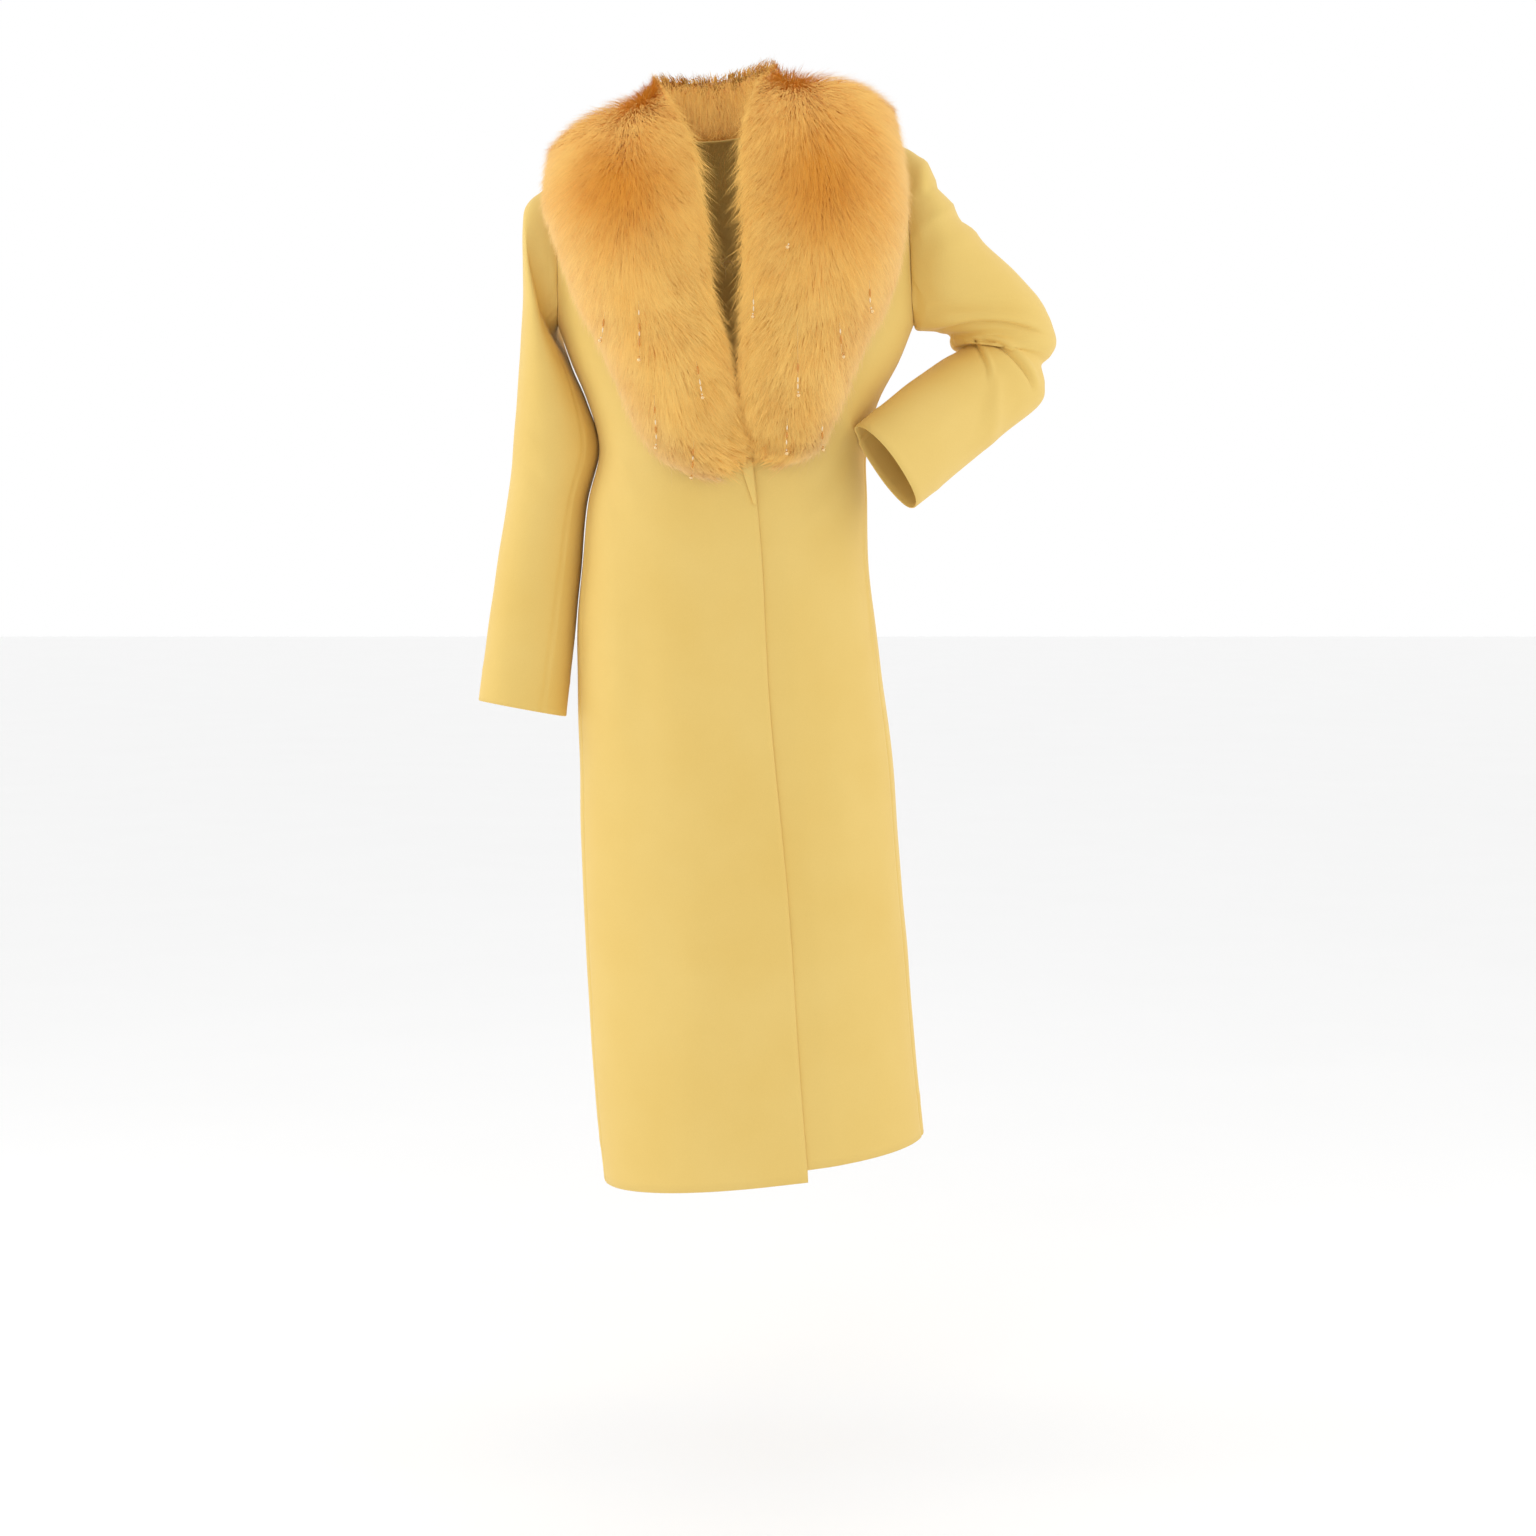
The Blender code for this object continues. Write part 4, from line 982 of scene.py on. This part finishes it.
def ribbon_mesh(name, left, right, tip):
    """A mesh of joined ribbons, each from its left and its right edge and its tip."""
    total, steps = left.shape[:2]
    start = (np.arange(total) * (2 * steps + 1))[:, None]
    quads = np.concatenate([start + np.array([k, k + 1, steps + k + 1, steps + k]) for k in range(steps - 1)])
    tris = start + np.array([steps - 1, 2 * steps, 2 * steps - 1])
    corners = np.concatenate([quads.ravel(), tris.ravel()])
    starts = np.concatenate([np.arange(len(quads)) * 4, len(quads) * 4 + np.arange(len(tris)) * 3])
    mesh = bpy.data.meshes.new(name)
    mesh.vertices.add(total * (2 * steps + 1))
    mesh.vertices.foreach_set("co", np.concatenate([left, right, tip[:, None]], 1).ravel())
    mesh.loops.add(len(corners))
    mesh.loops.foreach_set("vertex_index", corners)
    mesh.polygons.add(len(starts))
    mesh.polygons.foreach_set("loop_start", starts)
    mesh.update(calc_edges=True)
    return mesh


def paint(mesh, values):
    """Values at the corners of a mesh, for its material."""
    for name, value in values.items():
        mesh.attributes.new(name, "FLOAT", "POINT").data.foreach_set("value", value.astype(np.float32))


def parting_shade_share(u, v):
    """Painted shade where the hair parts on the shoulder: how strongly its deep orange is painted there."""
    return bell(u - 0.40, 0.085) * bell(v - 0.27, 0.085)


def fur_core(side, finish):
    """The dense under-fur that the locks rise from."""
    table = COLLAR_LEFT if side > 0 else COLLAR_RIGHT
    grid = collar_grid(table, *CORE_AT, *CORE_GRID, 0.055)
    normal = outward_normals(grid)
    sign = np.sign((normal * grid_normals(grid, True)).sum())
    rows, columns = CORE_GRID
    u = np.linspace(0, 1, rows)[:, None]
    v = np.linspace(0, 1, columns, endpoint=False)[None, :]
    rough = np.sin(u * 330 + 4 * np.sin(v * 60)) * np.sin(v * 150 + 3 * np.sin(u * 90))
    grid = grid + normal * (0.0012 * rough * (np.sin(np.pi * v * 2) > -0.2))[..., None]
    index = np.arange(rows * columns).reshape(rows, columns)
    faces = []
    for i in range(rows - 1):
        for j in range(columns):
            k = (j + 1) % columns
            face = (index[i, j], index[i, k], index[i + 1, k], index[i + 1, j])
            faces.append(face if sign > 0 else face[::-1])
    verts = grid.reshape(-1, 3)
    ends = np.array([grid[0].mean(0), grid[-1].mean(0)])
    for ring, tip, forward in ((index[0], rows * columns, False), (index[-1], rows * columns + 1, True)):
        for j in range(columns):
            k = (j + 1) % columns
            face = (ring[j], ring[k], tip)
            faces.append(face if forward == (sign > 0) else face[::-1])
    name = "fur_core_left" if side > 0 else "fur_core_right"
    faces = [tuple(int(a) for a in face) for face in faces]
    made = add_mesh(name, np.concatenate([verts, ends]), faces, finish)
    across = np.broadcast_to((v + 0.1) % 1.0 - 0.1, (rows, columns))
    # deep: painted shade where the hair parts
    paint(made.data, {key: np.append(value.ravel(), value.ravel()[[0, -1]])
                      for key, value in (("across", across), ("deep", parting_shade_share(u, across)))})
    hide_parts("collar_left" if side > 0 else "collar_right")
    return made


# ---------------------------------------------------------------- beads

def ball(radius, rings, sides, stretch=1.0):
    """Points and faces of a small ball about the origin."""
    verts = [(0.0, 0.0, radius * stretch)]
    for i in range(1, rings):
        polar = math.pi * i / rings
        for j in range(sides):
            turn = 2 * math.pi * j / sides
            verts.append((radius * math.sin(polar) * math.cos(turn), radius * math.sin(polar) * math.sin(turn),
                          radius * math.cos(polar) * stretch))
    verts.append((0.0, 0.0, -radius * stretch))
    faces = [(0, 1 + j, 1 + (j + 1) % sides) for j in range(sides)]
    for i in range(rings - 2):
        for j in range(sides):
            a, b = 1 + i * sides + j, 1 + i * sides + (j + 1) % sides
            faces.append((a, a + sides, b + sides, b))
    low = 1 + (rings - 2) * sides
    faces += [(len(verts) - 1, low + (j + 1) % sides, low + j) for j in range(sides)]
    return np.array(verts), faces


def on_fur(x, z, side, surfaces):
    """A point of the fur's surface at a place across and up, on its front or its back."""
    points, normals = surfaces
    off = np.hypot(points[:, 0] - x, points[:, 2] - z) + np.where(normals[:, 1] * side > 0.15, 0.0, 1.0)
    near = np.argsort(off)[:5]
    weight = 1 / (off[near] + 1e-4)
    depth = (points[near, 1] * weight).sum() / weight.sum()
    out = (normals[near] * weight[:, None]).sum(0)
    return np.array([x, depth, z]), out / np.linalg.norm(out)


def along_way(shape, way):
    """Points of a shape, turned from upright to lie along a way."""
    way = unit(way)
    side = unit(np.cross(way, (0.0, 1.0, 0.0)))
    return shape @ np.array([side, np.cross(way, side), way])


def bead_strands(finishes):
    """Threads of small beads which hang among the hairs: clear ones, long amber ones, and a round one that ends
    the thread."""
    points, normals = [], []
    for table in (COLLAR_RIGHT, COLLAR_LEFT):
        grid = collar_grid(table, 1.0, 1.0, *FUR_GRID)
        points.append(grid.reshape(-1, 3))
        normals.append(outward_normals(grid).reshape(-1, 3))
    surfaces = np.concatenate(points), np.concatenate(normals)
    stacks = {kind: ([], [], [0]) for kind in finishes}
    for thread, (side, x0, z0, x1, z1) in enumerate(BEADS):
        steps = np.linspace(-0.3, 1.0, 40)
        seats = [on_fur(x0 + (x1 - x0) * s, z0 + (z1 - z0) * s, side, surfaces) for s in steps]
        line, out = np.array(seats).swapaxes(0, 1)
        line = line + out * THREAD_LIFT
        far = lengths(line)
        place = far[-1]
        for kind, radius, long, gap in STRING[thread % len(STRING)]:
            middle = place - long / 2
            place -= long + gap
            if place < 0:
                break
            ahead, behind = read(line, far, middle + 0.001), read(line, far, middle - 0.001)
            round_bead = long < 3 * radius
            push = read(out, far, middle) * (radius * 0.5 + ROUND_LIFT * round_bead)
            shape, faces = ball(radius, *((12, 16) if round_bead else (8, 8)), long / radius / 2)
            verts, sides, count = stacks[kind]
            verts.append(along_way(shape, ahead - behind) + read(line, far, middle) + push)
            sides += [tuple(int(a) + count[0] for a in face) for face in faces]
            count[0] += len(shape)
        verts, sides, count = stacks["gold"]
        for a, b in zip(line, line[1:]):
            ring = along_way(np.array([(THREAD * math.cos(q), THREAD * math.sin(q), 0.0)
                                       for q in np.radians((0, 120, 240))]), b - a)
            verts.append(np.concatenate([ring + a, ring + b]))
            for j in range(3):
                k = (j + 1) % 3
                sides.append((count[0] + j, count[0] + k, count[0] + 3 + k, count[0] + 3 + j))
            sides += [(count[0] + 2, count[0] + 1, count[0]), (count[0] + 3, count[0] + 4, count[0] + 5)]
            count[0] += 6
    for kind, (verts, sides, _) in stacks.items():
        add_mesh("beads_" + kind, np.concatenate(verts), sides, finishes[kind])


THREAD_LIFT = 0.0026       # how far the threads stand off the fur
ROUND_LIFT = 0.0015        # and the round beads off their thread
THREAD = 0.0002            # radius of a thread
# Beads of a thread from its lower end: kind, radius, length, gap to the next
STRING = [
    [("gold", 0.0022, 0.0044, 0.0004), ("clear", 0.0009, 0.0018, 0.0050), ("clear", 0.0008, 0.0055, 0.0012),
     ("amber", 0.0012, 0.0090, 0.0012), ("clear", 0.0008, 0.0055, 0.0070), ("amber", 0.0011, 0.0080, 0.0010)],
    [("gold", 0.0021, 0.0042, 0.0004), ("amber", 0.0009, 0.0018, 0.0090), ("amber", 0.0012, 0.0100, 0.0014),
     ("clear", 0.0008, 0.0050, 0.0012), ("amber", 0.0011, 0.0075, 0.0080), ("clear", 0.0008, 0.0055, 0.0010)],
    [("gold", 0.0021, 0.0042, 0.0004), ("clear", 0.0009, 0.0018, 0.0020), ("clear", 0.0008, 0.0060, 0.0010),
     ("clear", 0.0008, 0.0060, 0.0050), ("amber", 0.0012, 0.0095, 0.0010)]]


# ---------------------------------------------------------------- materials

def linear(red, green, blue):
    """A screen colour of 0 to 255 as a linear one."""
    value = np.array((red, green, blue)) / 255.0
    value = np.where(value <= 0.04045, value / 12.92, ((value + 0.055) / 1.055) ** 2.4)
    return (*value.tolist(), 1.0)


class Nodes:
    """A material's node tree, built a node at a time."""

    def __init__(self, name):
        self.material = bpy.data.materials.new(name)
        self.material.use_nodes = True
        self.tree = self.material.node_tree
        self.shader = self.tree.nodes["Principled BSDF"]
        self.place = self.add("ShaderNodeTexCoord").outputs["Object"]

    def add(self, kind, **settings):
        node = self.tree.nodes.new(kind)
        for key, value in settings.items():
            setattr(node, key, value)
        return node

    def link(self, out, into):
        self.tree.links.new(out, into)

    def noise(self, scale, detail, stretch=(1.0, 1.0, 1.0)):
        mapping = self.add("ShaderNodeMapping")
        mapping.inputs["Scale"].default_value = stretch
        self.link(self.place, mapping.inputs["Vector"])
        noise = self.add("ShaderNodeTexNoise")
        noise.inputs["Scale"].default_value = scale
        noise.inputs["Detail"].default_value = detail
        self.link(mapping.outputs["Vector"], noise.inputs["Vector"])
        return noise.outputs["Fac"]

    def ramp(self, value, stops):
        ramp = self.add("ShaderNodeValToRGB")
        elements = ramp.color_ramp.elements
        while len(elements) < len(stops):
            elements.new(0.5)
        for element, (place, colour) in zip(elements, stops):
            element.position = place
            element.color = colour
        self.link(value, ramp.inputs["Fac"])
        return ramp.outputs["Color"]

    def mix(self, share, one, two, blend="MIX"):
        mix = self.add("ShaderNodeMix", data_type="RGBA", blend_type=blend)
        inputs = [s for s in mix.inputs if s.enabled]
        for socket, value in zip(inputs, (share, one, two)):
            if isinstance(value, (int, float, tuple)):
                socket.default_value = value
            else:
                self.link(value, socket)
        return [s for s in mix.outputs if s.enabled][0]

    def maths(self, operation, one, two=0.0, three=0.0):
        node = self.add("ShaderNodeMath", operation=operation)
        for socket, value in zip(node.inputs, (one, two, three)):
            if isinstance(value, (int, float)):
                socket.default_value = value
            else:
                self.link(value, socket)
        return node.outputs[0]

    def bump(self, height, strength, distance, after=None):
        node = self.add("ShaderNodeBump")
        node.inputs["Strength"].default_value = strength
        node.inputs["Distance"].default_value = distance
        self.link(height, node.inputs["Height"])
        if after is not None:
            self.link(after, node.inputs["Normal"])
        return node.outputs["Normal"]

    def attribute(self, name):
        return self.add("ShaderNodeAttribute", attribute_name=name).outputs["Fac"]

    def zones(self, *colours):
        """Colours of the outer edge, the crown and the inner edge of the fur, blended round its section."""
        across = self.maths("MULTIPLY_ADD", self.attribute("across"), 1.25, 0.15)
        return self.ramp(across, [(place, linear(*colour)) for place, colour in zip((0.05, 0.42, 0.82), colours)])

    def scaled(self, vector, scale):
        node = self.add("ShaderNodeVectorMath", operation="SCALE")
        self.link(vector, node.inputs[0])
        self.link(scale, node.inputs["Scale"])
        return node.outputs["Vector"]


def crepe():
    """Wool crepe: a fine pebbled weave with a soft sheen."""
    made = Nodes("wool_crepe_cloth")
    shader = made.shader
    soft = made.noise(9.0, 3.0)
    pebble = made.noise(1500.0, 2.0)
    weave = made.noise(900.0, 1.0, (1.0, 1.0, 0.35))
    colour = made.ramp(soft, [(0.30, linear(*CLOTH_DARK)), (0.70, linear(*CLOTH_LIGHT))])
    grain = made.ramp(pebble, [(0.25, (0.94, 0.93, 0.90, 1.0)), (0.75, (1.0, 1.0, 1.0, 1.0))])
    made.link(made.mix(0.8, colour, grain, "MULTIPLY"), shader.inputs["Base Color"])
    rough = made.maths("MULTIPLY_ADD", weave, 0.12, 0.62)
    made.link(rough, shader.inputs["Roughness"])
    first = made.bump(pebble, 0.35, 0.00025)
    made.link(made.bump(weave, 0.30, 0.0003, first), shader.inputs["Normal"])
    shader.inputs["Specular IOR Level"].default_value = 0.28
    shader.inputs["Sheen Weight"].default_value = 0.30
    shader.inputs["Sheen Roughness"].default_value = 0.45
    shader.inputs["Sheen Tint"].default_value = linear(255, 236, 190)
    return made.material


def satin():
    """Smooth lining of the pocket bags."""
    made = Nodes("pocket_satin")
    shader = made.shader
    thread = made.noise(1200.0, 1.0, (1.0, 1.0, 0.08))
    made.link(made.ramp(thread, [(0.3, linear(214, 178, 104)), (0.7, linear(230, 198, 126))]),
              shader.inputs["Base Color"])
    made.link(made.maths("MULTIPLY_ADD", thread, 0.15, 0.30), shader.inputs["Roughness"])
    made.link(made.bump(thread, 0.2, 0.0002), shader.inputs["Normal"])
    return made.material


def fur_hair():
    """Long hair, orange at its root and pale at its tip: palest at the outer edge, with painted shade deepest where
    it parts.
    """
    made = Nodes("fox_hair")
    shader = made.shader
    tip = made.attribute("tip")
    root = made.zones(ROOT_OUTER, ROOT_CROWN, ROOT_INNER)
    end = made.zones(TIP_OUTER, TIP_CROWN, TIP_INNER)
    patch = made.noise(26.0, 2.0)
    along = made.maths("MULTIPLY_ADD", patch, 0.7, made.maths("ADD", tip, -0.25))
    body = made.mix(along, root, end)
    # painted shade where the hair parts, strongest towards the roots
    deep = made.maths("MULTIPLY", made.attribute("deep"), made.maths("MULTIPLY_ADD", tip, -0.25, 1.0))
    body = made.mix(deep, body, linear(*PARTING_SHADE_COLOUR))
    lift = made.maths("MULTIPLY_ADD", made.attribute("tint"), 0.06, 1.0)
    grey = made.add("ShaderNodeCombineColor")
    for socket in grey.inputs[:3]:
        made.link(lift, socket)
    made.link(made.mix(1.0, body, grey.outputs["Color"], "MULTIPLY"), shader.inputs["Base Color"])
    made.link(made.maths("MULTIPLY_ADD", tip, 0.12, 0.50), shader.inputs["Roughness"])
    face = made.add("ShaderNodeNewGeometry")
    turned = made.scaled(face.outputs["Normal"], made.maths("MULTIPLY_ADD", face.outputs["Backfacing"], -2.0, 1.0))
    agree = made.add("ShaderNodeVectorMath", operation="DOT_PRODUCT")
    made.link(turned, agree.inputs[0])
    made.link(face.outputs["True Normal"], agree.inputs[1])
    behind = made.maths("LESS_THAN", agree.outputs["Value"], -0.3)
    made.link(made.scaled(turned, made.maths("MULTIPLY_ADD", behind, -2.0, 1.0)), shader.inputs["Normal"])
    shader.inputs["Specular IOR Level"].default_value = 0.05
    shader.inputs["Sheen Weight"].default_value = 0.10
    shader.inputs["Sheen Roughness"].default_value = 0.4
    shader.inputs["Sheen Tint"].default_value = linear(255, 222, 170)
    return made.material


def fur_under():
    """The dense under-fur between the locks."""
    made = Nodes("fox_under_fur")
    shader = made.shader
    colour = made.zones(ROOT_OUTER, ROOT_CROWN, ROOT_INNER)
    # painted shade where the hair parts
    colour = made.mix(made.attribute("deep"), colour, linear(*PARTING_SHADE_COLOUR))
    streak = made.noise(420.0, 3.0, (1.0, 1.0, 0.25))
    shade = made.ramp(streak, [(0.3, (0.90, 0.87, 0.82, 1.0)), (0.7, (1.0, 1.0, 1.0, 1.0))])
    made.link(made.mix(1.0, colour, shade, "MULTIPLY"), shader.inputs["Base Color"])
    made.link(made.bump(streak, 0.5, 0.001), shader.inputs["Normal"])
    made.link(made.maths("MULTIPLY_ADD", streak, 0.15, 0.6), shader.inputs["Roughness"])
    shader.inputs["Sheen Weight"].default_value = 0.3
    return made.material


def bead_glass(name, colour, metallic, roughness):
    """Glass or gilt of the beads, with faint specks."""
    made = Nodes(name)
    shader = made.shader
    speck = made.noise(900.0, 1.0)
    pale = tuple(min(1.0, c * 1.08) for c in linear(*colour)[:3]) + (1.0,)
    made.link(made.ramp(speck, [(0.35, linear(*colour)), (0.65, pale)]), shader.inputs["Base Color"])
    made.link(made.maths("MULTIPLY_ADD", speck, 0.06, roughness), shader.inputs["Roughness"])
    shader.inputs["Metallic"].default_value = metallic
    shader.inputs["Coat Weight"].default_value = 0.6
    shader.inputs["Coat Roughness"].default_value = 0.05
    return made.material


# Colours as on a screen; the beads also how metallic and how rough
BEAD_FINISHES = {
    "gold": ((236, 200, 140), 0.60, 0.12),
    "clear": ((236, 214, 176), 0.0, 0.06),
    "amber": ((206, 134, 40), 0.0, 0.10)}
CLOTH_LIGHT = (238, 205, 120)
CLOTH_DARK = (235, 200, 112)
ROOT_OUTER = (232, 186, 124)
ROOT_CROWN = (242, 172, 76)
ROOT_INNER = (232, 165, 70)
TIP_OUTER = (243, 207, 158)
TIP_CROWN = (252, 204, 116)
TIP_INNER = (243, 190, 102)
# colour of the painted shade where the hair parts
PARTING_SHADE_COLOUR = (220, 136, 34)


# ---------------------------------------------------------------- studio

def studio():
    """A pale floor, soft light all round, and the camera at the photograph's place."""
    made = Nodes("studio_floor")
    grain = made.noise(3.0, 2.0)
    made.link(made.ramp(grain, [(0.3, (0.97, 0.97, 0.97, 1.0)), (0.7, (0.98, 0.98, 0.98, 1.0))]),
              made.shader.inputs["Base Color"])
    made.shader.inputs["Roughness"].default_value = 0.5
    mesh = bpy.data.meshes.new("floor")
    corners = ((-1, -1), (1, -1), (1, 1), (-1, 1))
    mesh.from_pydata([(x * FLOOR_HALF, y * FLOOR_HALF, FLOOR) for x, y in corners], [], [(0, 1, 2, 3)])
    mesh.materials.append(made.material)
    floor = bpy.data.objects.new("floor", mesh)
    bpy.context.scene.collection.objects.link(floor)
    world = bpy.data.worlds.new("studio")
    bpy.context.scene.world = world
    world.use_nodes = True
    tree = world.node_tree
    place = tree.nodes.new("ShaderNodeTexCoord")
    axes = tree.nodes.new("ShaderNodeSeparateXYZ")
    across = tree.nodes.new("ShaderNodeMapRange")
    for socket, value in (("From Min", -0.5), ("From Max", 0.5), ("To Min", FRONT_LIGHT), ("To Max", BACKDROP)):
        across.inputs[socket].default_value = value
    tree.links.new(place.outputs["Generated"], axes.inputs["Vector"])
    tree.links.new(axes.outputs["Y"], across.inputs["Value"])
    tree.links.new(across.outputs["Result"], tree.nodes["Background"].inputs["Strength"])
    tree.nodes["Background"].inputs["Color"].default_value = (1.0, 1.0, 1.0, 1.0)
    for name, power, size, place, aim in LIGHTS:
        data = bpy.data.lights.new(name, "AREA")
        data.energy = power
        data.shape = "RECTANGLE"
        data.size, data.size_y = size
        lamp = bpy.data.objects.new(name, data)
        lamp.location = place
        way = np.array(aim, float) - np.array(place, float)
        lamp.rotation_euler = (math.atan2(math.hypot(way[0], way[1]), -way[2]), 0.0,
                               math.atan2(way[1], way[0]) - math.pi / 2)
        bpy.context.scene.collection.objects.link(lamp)
    bpy.context.scene.view_settings.view_transform = "Standard"
    camera = bpy.data.objects.new("camera", bpy.data.cameras.new("camera"))
    camera.data.sensor_width = 36.0
    camera.data.lens = LENS
    camera.data.clip_start = 0.05
    camera.location = CAMERA_PLACE
    camera.rotation_euler = (math.radians(90.0 - LOOKS_DOWN), 0.0, 0.0)
    bpy.context.scene.collection.objects.link(camera)
    bpy.context.scene.camera = camera


FLOOR = -1.491
FLOOR_HALF = 30.0
LENS = 60.2
CAMERA_PLACE = (0.05, -2.9, -0.472)
LOOKS_DOWN = 4.7           # degrees
FRONT_LIGHT = 0.88         # strength of the soft light from the front
BACKDROP = 1.0             # and of the bright backdrop
# Lights: name, watts, size, place, what it is aimed at
LIGHTS = [
    ("key", 6.0, (1.4, 1.4), (-1.2, -2.6, 1.3), (0.0, 0.0, -0.4)),
    ("side_right", 11.0, (0.8, 2.2), (-2.2, -0.1, 0.1), (0.0, 0.0, -0.5)),
    ("side_left", 9.0, (0.8, 2.2), (2.3, -0.1, 0.3), (0.0, 0.0, -0.5))]


# ---------------------------------------------------------------- the coat

def main():
    studio()
    wool = crepe()
    lining = satin()
    hair = fur_hair()
    under = fur_under()
    panels = [
        back(wool),
        front(-1, "coat_front_right", RIGHT_EDGE, RIGHT_NECK, RIGHT_HEM_DIP, wool),
        front(1, "coat_front_left", LEFT_EDGE, LEFT_NECK, LEFT_HEM_DIP, wool),
        sleeve(-1, wool),
        sleeve(1, wool),
        facing(wool),
        pocket(-1, lining),
        pocket(1, lining)]
    for side in (-1, 1):
        fur_core(side, under)
        for number, layer in enumerate(HAIR):
            hairs(layer, side, 11 + 10 * number + side, hair)
    bead_strands({kind: bead_glass("bead_" + kind, *finish) for kind, finish in BEAD_FINISHES.items()})


main()
